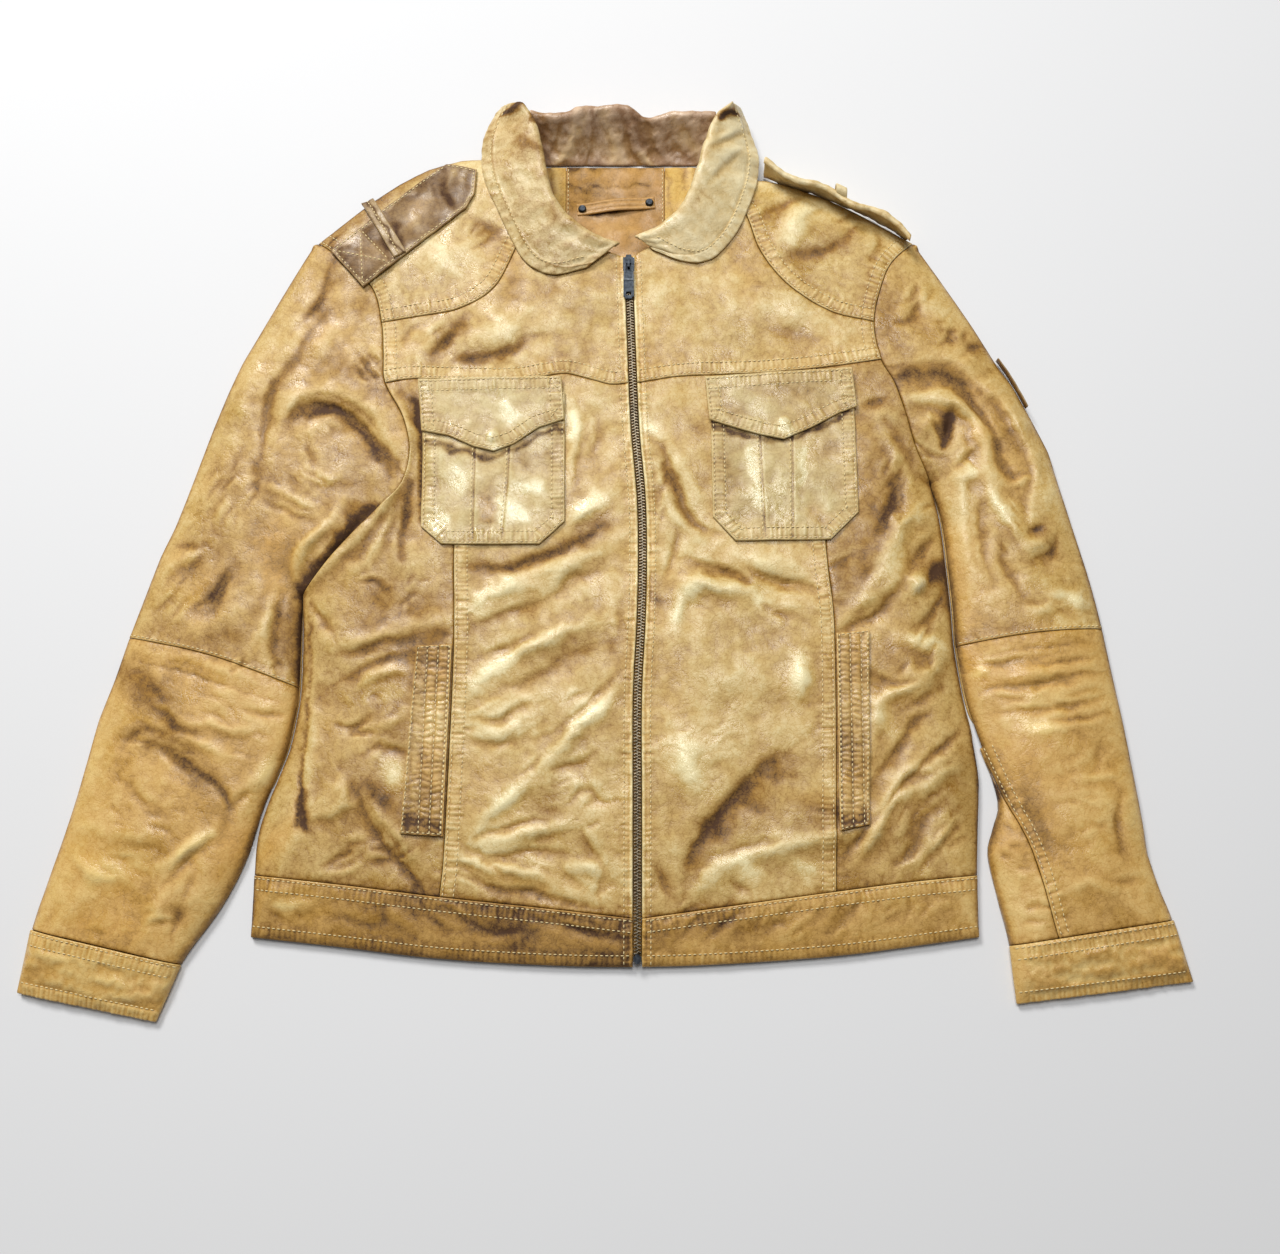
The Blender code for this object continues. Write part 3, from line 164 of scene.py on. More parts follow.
# Folds of each zone or piece: course, width on its left and on its right, and rise, which is
# negative for a trough
FOLDS = {
    "sleeve L": (
        (((-240, 175), (-265, 134), (-276, 112), (-280, 79), (-285, 38)), 5.2, 6.8, -2.9),
        (((-286, 166), (-297, 112), (-309, 64)), 13, 13, 1.8),
        (((-262, 91), (-253, 101), (-232, 104), (-215, 99), (-198, 83), (-181, 66),
          (-171, 53)), 3.4, 8.5, -4.6),
        (((-264, 83), (-257, 107), (-233, 114), (-211, 110), (-190, 92), (-170, 64)), 10, 5, 2.6),
        (((-245, 75), (-223, 91), (-204, 70)), 6, 9, 2.4),
        (((-244, 70), (-238, 46)), 3.8, 3.8, -1.8),
        (((-250, 46), (-229, 37), (-209, 49)), 6, 6, 1.8),
        (((-278, 36), (-253, 25), (-230, 12)), 5, 5, 1.6),
        (((-278, 25), (-256, 12), (-236, 4)), 3, 3, -1.6),
        (((-257, -55), (-263, -90), (-260, -121)), 3, 6.8, -2.9),
        (((-264, -47), (-267, -90), (-265, -117)), 8, 5, 1.8),
        (((-210, 22), (-221, 2), (-241, -15), (-248, -41)), 6, 5, 3.8),
        (((-187, 16), (-210, -9), (-225, -30), (-240, -48)), 6.5, 6.5, -6),
        (((-329, -72), (-312, -55), (-299, -32)), 6.8, 6.8, -2.4),
        (((-356, -55), (-347, -30), (-318, -18)), 7, 7, 2.2),
        (((-346, -13), (-322, -15)), 3.8, 3.8, -1.6),
        (((-333, -94), (-304, -76), (-281, -55)), 12, 12, 1.6),
        (((-385, -112), (-363, -118), (-350, -132), (-339, -149)), 6, 9, -1.3),
        (((-357, -171), (-337, -181), (-322, -188), (-300, -203)), 4, 8, -1.9),
        (((-348, -164), (-318, -173), (-289, -185)), 5, 5, 1.7),
        (((-339, -154), (-305, -160), (-269, -171)), 3.5, 3.5, 1.5),
        (((-375, -174), (-360, -160)), 3.8, 3.8, -2),
        (((-302, -202), (-291, -221), (-294, -239)), 4.5, 4.5, -2.2),
        (((-282, -221), (-265, -199), (-247, -185)), 8, 7, 2.9),
        (((-289, -221), (-269, -205)), 3.8, 3.8, -2.3),
        (((-335, -269), (-313, -252), (-298, -239)), 6, 6, 2.9),
        (((-335, -280), (-313, -259), (-296, -245)), 4.1, 4.9, -2.8),
        (((-418, -248), (-391, -269), (-355, -281)), 8, 8, 1.8),
        (((-327, -318), (-324, -308), (-321, -294)), 5.2, 4.5, -2.4),
        (((-348, -324), (-338, -301), (-330, -285)), 7, 7, 2),
        (((-281, -144), (-263, -150), (-245, -147)), 2.2, 2.6, -2),
        (((-312, -269), (-320, -290)), 4.5, 4.5, -1.7),
        (((-403, -237), (-365, -244), (-333, -239)), 8, 8, 1.4),
        (((-378, -197), (-353, -218), (-334, -228)), 5.2, 5.2, -1.5),
        (((-231, 228), (-239, 199), (-261, 161)), 8.2, 7.5, -2.7),
        (((-242, 190), (-256, 162), (-270, 135)), 10, 10, 1.8),
        (((-222, 184), (-231, 162), (-245, 135)), 12, 12, 1.8),
        (((-385, -104), (-318, -121), (-246, -145)), 1.2, 1.4, -1.1),
        (((-382, -96), (-314, -112), (-245, -136)), 4, 4, 0.7),
    ),
    "body": (
        (((-177, 114), (-166, 90), (-162, 68), (-171, 36), (-187, 6), (-216, -24),
          (-240, -49)), 6, 8, 4.5),
        (((-159, 110), (-151, 79), (-149, 42), (-149, 4)), 4.5, 3, -3.5),
        (((-170, 112), (-159, 86), (-155, 64)), 4, 5, 2.1),
        (((-157, 37), (-162, 8), (-164, -28)), 3.8, 4.5, -3.2),
        (((-169, 38), (-176, 4), (-187, -24), (-205, -41)), 7, 7, 2.4),
        (((-237, -57), (-224, -73), (-216, -85)), 4.5, 4.5, -3.2),
        (((-219, -95), (-186, -93), (-156, -81), (-124, -75)), 8, 9, 2.8),
        (((-211, -102), (-191, -100), (-173, -92), (-153, -89)), 3.4, 4.5, -2.4),
        (((-207, -123), (-186, -113), (-164, -104), (-152, -100)), 4.5, 4.5, -2.8),
        (((-200, -133), (-185, -123), (-172, -117), (-155, -115)), 7, 8, 2.2),
        (((-211, -159), (-197, -162), (-183, -150)), 3.8, 3.8, -2.9),
        (((-179, -161), (-164, -153), (-154, -148)), 8, 8, 1.8),
        (((-181, -174), (-166, -179), (-152, -181)), 4.5, 4.5, -2.1),
        (((-205, -196), (-200, -216), (-201, -226)), 5, 8, 2.7),
        (((-191, -212), (-180, -233), (-167, -252), (-149, -271), (-136, -286)), 3, 4.5, -3),
        (((-181, -216), (-166, -237), (-148, -258), (-134, -273)), 7, 5, 2.4),
        (((-227, -232), (-207, -227), (-192, -220)), 12, 3.5, 2.3),
        (((-245, -55), (-237, -135), (-230, -205), (-228, -233)), 12, 3, 2.9),
        (((-234, -215), (-229, -240)), 2.6, 4.5, -2.3),
        (((-218, -266), (-201, -259), (-191, -256)), 3.4, 3.8, -2.1),
        (((-224, -271), (-201, -271), (-184, -266)), 6, 6, 1.7),
        (((-110, -65), (-86, -52), (-59, -38), (-32, -30)), 9, 9, 3),
        (((-107, -82), (-81, -70), (-59, -63), (-32, -48)), 5.2, 6, -2.7),
        (((-106, -126), (-84, -113), (-58, -96), (-32, -86), (-3, -77)), 7, 10, 3.5),
        (((-102, -106), (-76, -96), (-47, -81)), 5.2, 5.2, -2.2),
        (((-97, -139), (-64, -126), (-32, -106), (-3, -95)), 9, 9, -2.4),
        (((-101, -153), (-83, -155), (-64, -144)), 3.4, 3.8, -2.3),
        (((-107, -170), (-85, -173), (-61, -169)), 3.4, 3.8, -2),
        (((-103, -161), (-79, -164), (-53, -153)), 7, 7, 1.7),
        (((-63, -205), (-42, -184), (-24, -162), (-3, -144), (13, -122)), 7, 9, 3.4),
        (((-46, -172), (-31, -159), (-9, -137), (9, -117)), 4.5, 5.2, -2.4),
        (((-44, -192), (-22, -189), (-7, -179)), 3.8, 3.8, -2.2),
        (((-97, -238), (-84, -223), (-63, -209), (-46, -203)), 8, 7, 3),
        (((-98, -244), (-73, -237), (-48, -231)), 2.2, 3, -3),
        (((-99, -250), (-64, -243), (-30, -237), (-11, -246)), 6, 8, 2.3),
        (((-111, -248), (-94, -257), (-60, -256), (-32, -257)), 3, 3.8, -3.1),
        (((-21, -242), (-8, -260), (1, -272)), 3.8, 4.5, -2.4),
        (((-107, -262), (-81, -267), (-51, -276), (-23, -288)), 5, 6, 2.4),
        (((-108, -269), (-81, -283), (-51, -288), (-4, -297)), 3, 3.8, -2.7),
        (((-34, -269), (-17, -267), (-2, -272)), 5, 6, 2),
        (((1, -269), (-5, -284), (6, -279)), 3, 3, -1.8),
        (((-20, -196), (-2, -218), (13, -216)), 4.5, 4.5, -1.8),
        (((10, -61), (11, -90)), 3, 3.8, -1.8),
        (((-29, 107), (-25, 83), (-28, 56), (-32, 29)), 5, 6, 2),
        (((-1, 2), (-19, -8), (-38, -19), (-57, -27), (-76, -32), (-109, -32)), 6.8, 6.8, -3.5),
        (((-1, 23), (-19, 13), (-34, 0)), 8, 8, 2.8),
        (((3, -14), (-25, -30), (-50, -44), (-69, -51)), 9, 10, 2.8),
        (((-2, -36), (-25, -40), (-38, -50)), 6, 6, -2.2),
        (((-13, 104), (-8, 81), (-14, 56)), 6, 6, -1.6),
        (((-122, 143), (-92, 149), (-69, 161), (-49, 164)), 6.8, 6.8, -3),
        (((-146, 147), (-128, 168), (-117, 181)), 6.8, 7.5, -2.8),
        (((-154, 146), (-145, 166), (-137, 179)), 8, 8, 1.8),
        (((-119, 155), (-94, 166), (-69, 180)), 13, 13, 2.2),
        (((-170, 146), (-164, 166), (-154, 175)), 5.2, 5.2, -1.8),
        (((-155, 217), (-134, 235), (-122, 243)), 16, 16, 2.1),
        (((-122, 267), (-105, 263), (-89, 250)), 9.8, 9.8, -2.1),
        (((152, 235), (182, 242), (208, 260)), 10.5, 10.5, -3.2),
        (((150, 242), (160, 272), (174, 296)), 12, 12, 2.7),
        (((129, 270), (152, 286), (168, 293)), 8.2, 8.2, -2.7),
        (((213, 268), (226, 253), (219, 231)), 6, 6, -1.7),
        (((114, 165), (142, 169), (179, 158)), 12, 12, -1.7),
        (((119, 194), (151, 185), (180, 172)), 16, 16, 1.7),
        (((33, 76), (44, 69), (53, 43), (64, 12), (78, -1), (93, -7)), 3.8, 4.5, -2.9),
        (((38, 49), (47, 24), (57, 4), (73, -10)), 6, 6, 2.1),
        (((57, 62), (67, 35), (75, 16)), 8, 8, 1.6),
        (((62, -26), (91, -35), (109, -42)), 4.5, 4.5, -2.8),
        (((114, -32), (131, -43), (162, -49)), 3.8, 4.5, -3.1),
        (((54, -55), (70, -46), (91, -52), (110, -52)), 6, 8, 2.4),
        (((96, -23), (124, -28), (156, -35)), 8, 8, 2),
        (((56, -2), (50, -30), (46, -47)), 3, 3.8, -2.4),
        (((206, 102), (227, 110)), 4.5, 4.5, -2.4),
        (((212, 87), (226, 94), (240, 83)), 6, 6, 1.8),
        (((233, 40), (223, 12), (217, 1)), 6, 6, -2.4),
        (((222, 87), (233, 62), (245, 38)), 6, 7, 2),
        (((201, -53), (221, -33), (235, 2), (252, 12), (272, 16)), 7, 9, 3.1),
        (((242, -32), (254, -14), (272, 4)), 4.5, 6, -3.5),
        (((272, 24), (261, 20), (251, 16)), 3, 3, -2.2),
        (((240, -53), (251, -38)), 6, 6, 2.4),
        (((258, -38), (272, -26), (274, -53)), 5.2, 5.2, -3.2),
        (((180, -32), (195, -23)), 3.8, 3.8, -1.8),
        (((135, -181), (115, -197), (90, -222), (70, -250), (60, -279)), 12, 6.8, -4.3),
        (((161, -245), (107, -252), (81, -262), (64, -277)), 5.2, 6.8, -2.3),
        (((65, -287), (96, -262), (139, -250), (200, -240), (226, -222)), 7, 10, 3.2),
        (((51, -81), (58, -61), (75, -48), (104, -50), (121, -59)), 7, 9, 3),
        (((117, -34), (144, -45), (166, -50)), 3, 4.5, -3),
        (((75, -39), (99, -37), (119, -46)), 4.5, 4.5, -2.6),
        (((43, -95), (83, -122), (120, -122), (153, -113)), 20, 22, 2.2),
        (((152, -95), (153, -122), (146, -144)), 10, 8, 2.1),
        (((48, -153), (63, -188), (69, -218)), 12, 12, 2.3),
        (((182, -82), (201, -62), (224, -47), (234, -26)), 7, 8, 3.1),
        (((187, -82), (210, -73), (225, -56)), 3.8, 3.8, -3),
        (((240, -53), (251, -40)), 7, 6, 2.6),
        (((268, -49), (257, -70), (242, -82)), 4.5, 4.5, -3.1),
        (((231, -90), (258, -100), (268, -104)), 7, 7, 2.3),
        (((206, -117), (226, -127), (252, -117)), 4.5, 5.2, -2.4),
        (((204, -181), (208, -161), (216, -139), (239, -128), (264, -106), (274, -83)), 7, 8, 3.4),
        (((205, -203), (219, -183), (242, -155), (248, -151)), 3.8, 4.5, -3.3),
        (((210, -222), (229, -197), (253, -191), (270, -179)), 5, 6, 2.9),
        (((208, -227), (240, -192), (272, -164), (281, -153)), 3, 3.8, -2.9),
        (((202, -250), (218, -220), (249, -205), (280, -183)), 7, 8, 2.8),
        (((186, -268), (204, -246), (217, -227)), 5, 5, 2.1),
        (((182, -260), (198, -239), (204, -231)), 3, 3, -2.3),
        (((214, -269), (234, -250), (248, -226)), 6, 6, -2.1),
        (((224, -269), (249, -248), (269, -220)), 8, 8, 2),
        (((96, -279), (111, -286)), 3.8, 3.8, -2.1),
        (((39, -267), (49, -290)), 4.5, 4.5, -2.2),
        (((45, -328), (60, -315), (81, -298)), 3, 3.8, -1.8),
        (((68, -325), (85, -313), (102, -302)), 3, 3, -1.8),
        (((81, -327), (100, -311), (117, -302)), 5, 5, 1.5),
        (((112, -321), (130, -309), (143, -298)), 3, 3.8, -1.8),
        (((138, -319), (151, -307), (164, -296)), 4, 4, 1.5),
        (((168, -313), (185, -302), (196, -292)), 3, 3.8, -1.7),
        (((208, -309), (225, -298), (236, -288)), 3.8, 3.8, -1.5),
        (((242, -304), (262, -294)), 5, 5, 1.4),
        (((-260, -286), (-242, -296), (-221, -294)), 5, 5, 1.7),
        (((-257, -298), (-237, -309)), 3, 3, -1.7),
        (((-138, -296), (-127, -309), (-116, -319)), 2.2, 3, -2.1),
        (((-214, -298), (-193, -309), (-165, -309)), 3, 3.8, -1.7),
        (((-165, -298), (-148, -311)), 4, 4, 1.6),
        (((-114, -302), (-86, -315), (-59, -313)), 3, 3.8, -2),
        (((-55, -311), (-71, -321), (-92, -325)), 4, 4, 1.6),
        (((-46, -300), (-21, -315), (9, -319)), 3, 3.8, -2),
        (((-38, -321), (-8, -325), (17, -331)), 4, 4, 1.6),
        (((-31, -311), (-8, -317), (17, -325)), 2.2, 2.2, -1.6),
        (((-235, -62), (-234, -110), (-234, -160), (-235, -200), (-236, -238)), 1.2, 1.8, -2.8),
    ),
    "sleeve R": (
        (((245, 140), (275, 144), (296, 130), (323, 105), (339, 78), (346, 45), (340, 4)), 16, 6, 4.3),
        (((241, 130), (274, 130), (293, 115), (315, 69), (326, 44)), 6, 9, -3.4),
        (((243, 110), (269, 109), (291, 99), (303, 80), (307, 53), (307, 26)), 6, 8, 4.3),
        (((307, 32), (317, 10), (328, -8), (341, -22)), 8, 6, 2.4),
        (((311, -8), (319, -40), (329, -58)), 6.8, 6.8, -2.2),
        (((289, 61), (286, 32), (285, -8), (288, -58)), 9, 9, 2.8),
        (((302, 32), (299, -8), (305, -48)), 5.2, 4.5, -2),
        (((277, 97), (275, 84), (278, 68)), 3, 5, -2.6),
        (((252, 80), (263, 90), (272, 90)), 6, 7, 2.7),
        (((265, 90), (270, 74), (273, 65)), 3, 3, -2.2),
        (((282, 52), (295, 61), (301, 67)), 3, 3.8, -2.4),
        (((282, 45), (296, 43), (302, 51)), 6, 6, 1.8),
        (((316, 65), (323, 45), (341, 46)), 4.5, 4.5, -3),
        (((321, 35), (331, 38), (342, 44)), 5, 5, 2.1),
        (((334, -5), (348, 1)), 3.8, 3.8, -2.4),
        (((342, -25), (355, -20), (360, -8)), 3.8, 4.5, -2.8),
        (((330, -14), (345, -14), (356, -4)), 5, 5, 1.7),
        (((362, -58), (373, -60), (380, -70)), 9, 9, 2.2),
        (((333, -66), (352, -68)), 5, 5, 1.7),
        (((331, -62), (350, -61)), 2.6, 2.6, -1.6),
        (((358, 74), (366, 12), (368, -28)), 10, 10, 1.7),
        (((374, 12), (381, -28), (385, -58)), 5.2, 5.2, -1.5),
        (((260, 206), (253, 181), (237, 177)), 5.2, 5.2, -2.3),
        (((309, 162), (297, 153), (290, 147)), 3.8, 6, -2.4),
        (((283, 170), (277, 161), (273, 155)), 2.6, 3, -2.1),
        (((249, 209), (262, 196), (278, 181)), 12, 12, 1.7),
        (((299, -128), (333, -126), (367, -118), (393, -117)), 2.2, 3, -2.4),
        (((302, -120), (333, -118), (365, -112)), 4, 4, 1.5),
        (((281, -109), (310, -109), (334, -105)), 2.2, 3, -2),
        (((324, -113), (353, -109), (388, -103)), 2, 2.2, -1.7),
        (((305, -149), (339, -147), (370, -140), (396, -135)), 2.2, 3.4, -2.1),
        (((336, -157), (367, -152), (395, -147)), 2.1, 2.6, -1.7),
        (((330, -164), (359, -160), (388, -155)), 6, 6, 1.5),
        (((362, -201), (397, -200)), 3, 3, 1.4),
        (((396, -211), (392, -232), (395, -258)), 4.5, 4.5, -2.1),
        (((406, -173), (408, -211), (403, -244)), 8, 8, 1.7),
        (((327, -221), (337, -244), (355, -255)), 7.5, 9, -1.1),
        (((382, -173), (376, -197)), 6, 6, -1.5),
        (((347, -285), (365, -281), (384, -285)), 6, 6, 1.7),
        (((384, -278), (412, -276)), 3.8, 3.8, -1.5),
        (((296, -206), (307, -209)), 3, 3.8, -2.3),
        (((318, -299), (332, -294)), 3, 3, -1.6),
        (((290, -120), (298, -108)), 6, 6, 1.5),
        (((393, -92), (335, -98), (278, -108)), 1.2, 1.2, -0.9),
        (((279, 99), (277, 85), (270, 67)), 2.4, 5, -3.4),
        (((238, 106), (273, 105), (293, 91), (300, 57)), 5, 5, 2.2),
        (((246, 76), (260, 64), (276, 59)), 1.4, 1.8, -2),
        (((250, 62), (259, 47), (270, 22)), 2.5, 2.5, -1.2),
    ),
    "collar_R": (
        (((82, 322), (97, 333), (113, 347)), 2.5, 4, -1.6),
        (((84, 327), (99, 338), (112, 351)), 3, 3, 1.2),
        (((91, 307), (102, 317), (114, 330)), 2.5, 4, -1.6),
        (((81, 291), (91, 303), (101, 314)), 2.2, 3.5, -1.4),
        (((93, 353), (107, 361)), 3, 3, -3.5),
    ),
    "collar_L": (
        (((-71, 337), (-61, 323)), 5, 5, -1.2),
        (((-48, 277), (-44, 262)), 3, 4, -1.2),
        (((-22, 252), (-39, 244)), 5, 5, 1),
        (((-89, 361), (-73, 364)), 3.2, 3.2, -3.5),
    ),
    "epaulette_L": (
        (((-132, 275), (-137, 292)), 3, 4, -1.4),
        (((-136, 297), (-130, 317)), 3, 4, 1.6),
        (((-177, 256), (-171, 240)), 3, 4, -1.2),
        (((-164, 273), (-155, 254)), 4, 4, 0.9),
        (((-118, 314), (-121, 289)), 4, 4, -0.8),
        (((-150, 301), (-144, 282)), 3, 3, -0.8),
    ),
    "collar_back": (
        (((-24, 364), (-36, 336), (-53, 324)), 4, 5, 2.2),
        (((-38, 360), (-47, 340), (-56, 330)), 3, 3, -1.8),
        (((-13, 362), (-16, 338), (-23, 322)), 4, 3, -1.8),
        (((2, 364), (6, 344), (17, 324)), 5, 4, 1.6),
        (((17, 366), (26, 336), (46, 320)), 4, 4, 2.4),
        (((11, 360), (20, 334), (39, 317)), 3, 3, -2),
        (((31, 358), (39, 338), (53, 326)), 3, 4, -1.6),
        (((50, 362), (66, 354), (77, 340)), 5, 5, 2),
        (((48, 348), (64, 334), (77, 326)), 3, 3, -1.5),
        (((-64, 352), (-49, 354), (-31, 354)), 3, 3, 1.2),
    ),
    "neck_facing": (
        (((-28, 306), (2, 301), (20, 302), (43, 304)), 4, 5, 0.9),
        (((-17, 320), (-18, 308)), 5, 5, 0.5),
        (((-31, 276), (-9, 264), (2, 252)), 6, 6, 0.6),
    ),
}
# Clusters of fine creases: zone, middle, reach, direction (degrees), number, length, depth
CREASES = (
    ("sleeve R", (340, -130), (44, 25), 7, 9, 34, -0.86),
    ("sleeve R", (309, -255), (14, 44), -6, 14, 13, -0.65),
    ("sleeve R", (369, -225), (30, 46), 8, 10, 22, -0.36),
    ("sleeve R", (329, -306), (25, 12), 15, 7, 16, -0.65),
    ("sleeve R", (363, -64), (22, 9), 10, 6, 18, -0.65),
    ("sleeve R", (253, 194), (17, 17), 60, 7, 16, -0.65),
    ("sleeve R", (286, 162), (14, 11), 62, 6, 14, -0.79),
    ("sleeve R", (323, -4), (16, 29), -60, 7, 22, -0.58),
    ("sleeve L", (-317, -164), (53, 25), -18, 12, 28, -0.86),
    ("sleeve L", (-371, -232), (46, 44), -16, 14, 24, -0.43),
    ("sleeve L", (-370, -308), (41, 14), 8, 6, 22, -0.65),
    ("sleeve L", (-198, 135), (14, 12), -46, 10, 15, -0.86),
    ("sleeve L", (-270, -115), (29, 8), 82, 5, 9, -1.22),
    ("sleeve L", (-300, 21), (21, 38), 58, 10, 22, -0.65),
    ("sleeve L", (-249, 29), (25, 19), -30, 9, 18, -0.72),
    ("sleeve L", (-326, -49), (27, 27), 40, 7, 24, -0.65),
    ("body", (149, -304), (112, 12), 42, 22, 17, -0.86),
    ("body", (-123, -309), (127, 12), -22, 24, 17, -0.86),
    ("body", (236, -237), (40, 30), 50, 13, 26, -0.86),
    ("body", (244, -106), (25, 38), 48, 10, 22, -0.86),
    ("body", (-55, -273), (55, 19), -16, 10, 34, -0.86),
    ("body", (-184, -260), (36, 13), 12, 7, 20, -0.86),
    ("body", (-184, -153), (30, 38), 22, 10, 20, -0.79),
    ("body", (-62, -157), (51, 34), 26, 12, 22, -0.72),
    ("body", (-30, -222), (38, 27), 20, 9, 22, -0.72),
    ("body", (76, -161), (38, 53), 30, 7, 24, -0.36),
    ("body", (104, -61), (49, 19), -18, 7, 22, -0.65),
    ("body", (227, 38), (20, 38), 62, 10, 20, -0.72),
    ("body", (42, 30), (9, 46), 75, 9, 18, -0.65),
    ("body", (-168, -49), (27, 15), 22, 6, 16, -0.94),
    ("body", (-120, 162), (40, 14), 30, 7, 22, -0.58),
    ("body", (179, 268), (31, 18), 35, 7, 20, -0.43),
    ("body", (-113, 254), (20, 15), 35, 6, 20, -0.5),
)


def noise(points, size, seed):
    """Smooth gradient noise from -1 to 1 over points in millimetres."""
    angle = np.random.RandomState(seed).uniform(0, 2 * math.pi, (64, 64))
    place = np.asarray(points)[:, :2] / size
    corner = np.floor(place).astype(int)
    inside = place - corner
    ease = inside ** 3 * (inside * (inside * 6 - 15) + 10)
    pull = []
    for i in (0, 1):
        for j in (0, 1):
            turn = angle[(corner[:, 0] + i) % 64, (corner[:, 1] + j) % 64]
            pull.append(np.cos(turn) * (inside[:, 0] - i) + np.sin(turn) * (inside[:, 1] - j))
    low = pull[0] + (pull[1] - pull[0]) * ease[:, 1]
    high = pull[2] + (pull[3] - pull[2]) * ease[:, 1]
    return (low + (high - low) * ease[:, 0]) * 1.5


def smooth(path, step=5.0):
    """A smooth curve through a path's points, with a point about every step."""
    path = np.asarray(path, float)
    ends = np.vstack([2 * path[0] - path[1], path, 2 * path[-1] - path[-2]])
    curve = []
    for a, b, c, d in zip(ends, ends[1:], ends[2:], ends[3:]):
        count = max(round(np.linalg.norm(c - b) / step), 1)
        for t in np.arange(count)[:, None] / count:
            curve.append((0.5 * (2 * b + (c - a) * t + (2 * a - 5 * b + 4 * c - d) * t * t
                                 + (3 * b - a - 3 * c + d) * t ** 3))[None])
    return np.vstack([np.vstack([part.reshape(-1, path.shape[1]) for part in curve]), path[-1:]])


def nearest(points, path):
    """Distance to a path, on which side (+ is left) and how far along it, in millimetres."""
    points, path = np.asarray(points, float)[:, :2], np.asarray(path, float)[:, :2]
    best = np.full(len(points), np.inf)
    side, along = np.zeros(len(points)), np.zeros(len(points))
    passed = 0.0
    for a, b in zip(path, path[1:]):
        run = b - a
        length = math.hypot(*run)
        if length < 1e-9:
            continue
        off = points - a
        share = np.clip((off @ run) / length ** 2, 0, 1)
        apart = np.hypot(off[:, 0] - share * run[0], off[:, 1] - share * run[1])
        closer = apart < best
        best = np.where(closer, apart, best)
        side = np.where(closer, np.sign(run[0] * off[:, 1] - run[1] * off[:, 0]), side)
        along = np.where(closer, passed + share * length, along)
        passed += length
    return best, side, along, passed


def measured(path):
    """How far along a path each of its points lies."""
    return np.concatenate([[0], np.cumsum(np.linalg.norm(np.diff(path, axis=0), axis=1))])


def walked(path, places):
    """Points at the given distances along a path."""
    at = measured(path)
    return np.stack([np.interp(places, at, path[:, k]) for k in range(path.shape[1])], 1)


def step_up(value, low, high):
    """A smooth step from 0 below low to 1 above high."""
    share = np.clip((value - low) / (high - low), 0, 1)
    return share * share * (3 - 2 * share)


def crease_courses():
    """Short curved creases about each cluster's middle, each with a bulge along one side."""
    courses = []
    for seed, (zone, middle, reach, direction, number, length, depth) in enumerate(CREASES):
        chance = np.random.RandomState(400 + seed)
        for _ in range(number):
            turn = math.radians(direction + chance.normal(0, 11))
            along = np.array((math.cos(turn), math.sin(turn)))
            aside = np.array((-along[1], along[0]))
            angle, share = chance.uniform(0, 2 * math.pi), math.sqrt(chance.uniform(0, 1))
            start = np.add(middle, np.multiply(reach, (math.cos(angle), math.sin(angle))) * share)
            run, bow = length * chance.uniform(0.5, 1.3), chance.uniform(-0.14, 0.14)
            course = np.array([start + along * run * t + aside * run * bow * (1 - 4 * t * t)
                               for t in (-0.5, -0.2, 0.15, 0.5)])
            width, deep = chance.uniform(1.3, 2.6), depth * chance.uniform(0.5, 1.5)
            courses.append((zone, course, width, width * 1.5, deep))
            bulge = chance.choice((-1, 1)) * aside * width * 2.2
            courses.append((zone, course + bulge, width * 1.4, width * 1.4, -0.55 * deep))
    return courses


# the steep side of a trough and the gentle side of a ridge face this way
LIT = (-0.48, 0.87)
TROUGH_LEAN, RIDGE_LEAN = 0.38, 0.25
TROUGH_SHARP, RIDGE_SHARP = 1.4, 1.8
FOLD_REACH = 3.2                  # in widths
FOLD_TAPER, FOLD_END = 0.42, 0.25  # share of the length where it dies away, and what is left
FOLD_COURSES = [(zone, smooth(course, 6), left, right, rise) for zone, folds in FOLDS.items()
                for course, left, right, rise in folds] + crease_courses()


def folds_at(points, zone):
    """How far a zone's folds lift or press the leather: troughs sharp, ridges rounder."""
    folded = np.zeros(len(points))
    for fold_zone, course, left, right, rise in FOLD_COURSES:
        if fold_zone != zone:
            continue
        reach = FOLD_REACH * max(left, right)
        low, high = course.min(0) - reach, course.max(0) + reach
        near = ((points > low) & (points < high)).all(1)
        if not near.any():
            continue
        apart, side, along, length = nearest(points[near], course)
        run = course[-1] - course[0]
        facing = 1 if run[0] * LIT[1] - run[1] * LIT[0] > 0 else -1
        steep = 1 + (-TROUGH_LEAN if rise < 0 else RIDGE_LEAN) * facing * side
        place = np.stack([along + 40 * abs(rise), 0 * along + left], 1)
        width = steep * np.where(side > 0, left, right) * (1 + 0.35 * noise(place, 17, 8))
        ends = np.clip(np.minimum(along, length - along) / (FOLD_TAPER * length), 0, 1)
        full = (FOLD_END + (1 - FOLD_END) * ends) * (1 + 0.4 * noise(place, 23, 9))
        sharp = TROUGH_SHARP if rise < 0 else RIDGE_SHARP
        folded[near] += rise * full * np.exp(-(apart / width) ** sharp)
    return folded


EDGE_EASE = 0.3                   # the first share of the rise, where folds fade in
LEAST_RISE, RISE_EASE = 0.6, 2.0  # least height over the lower layer, and the ease above it


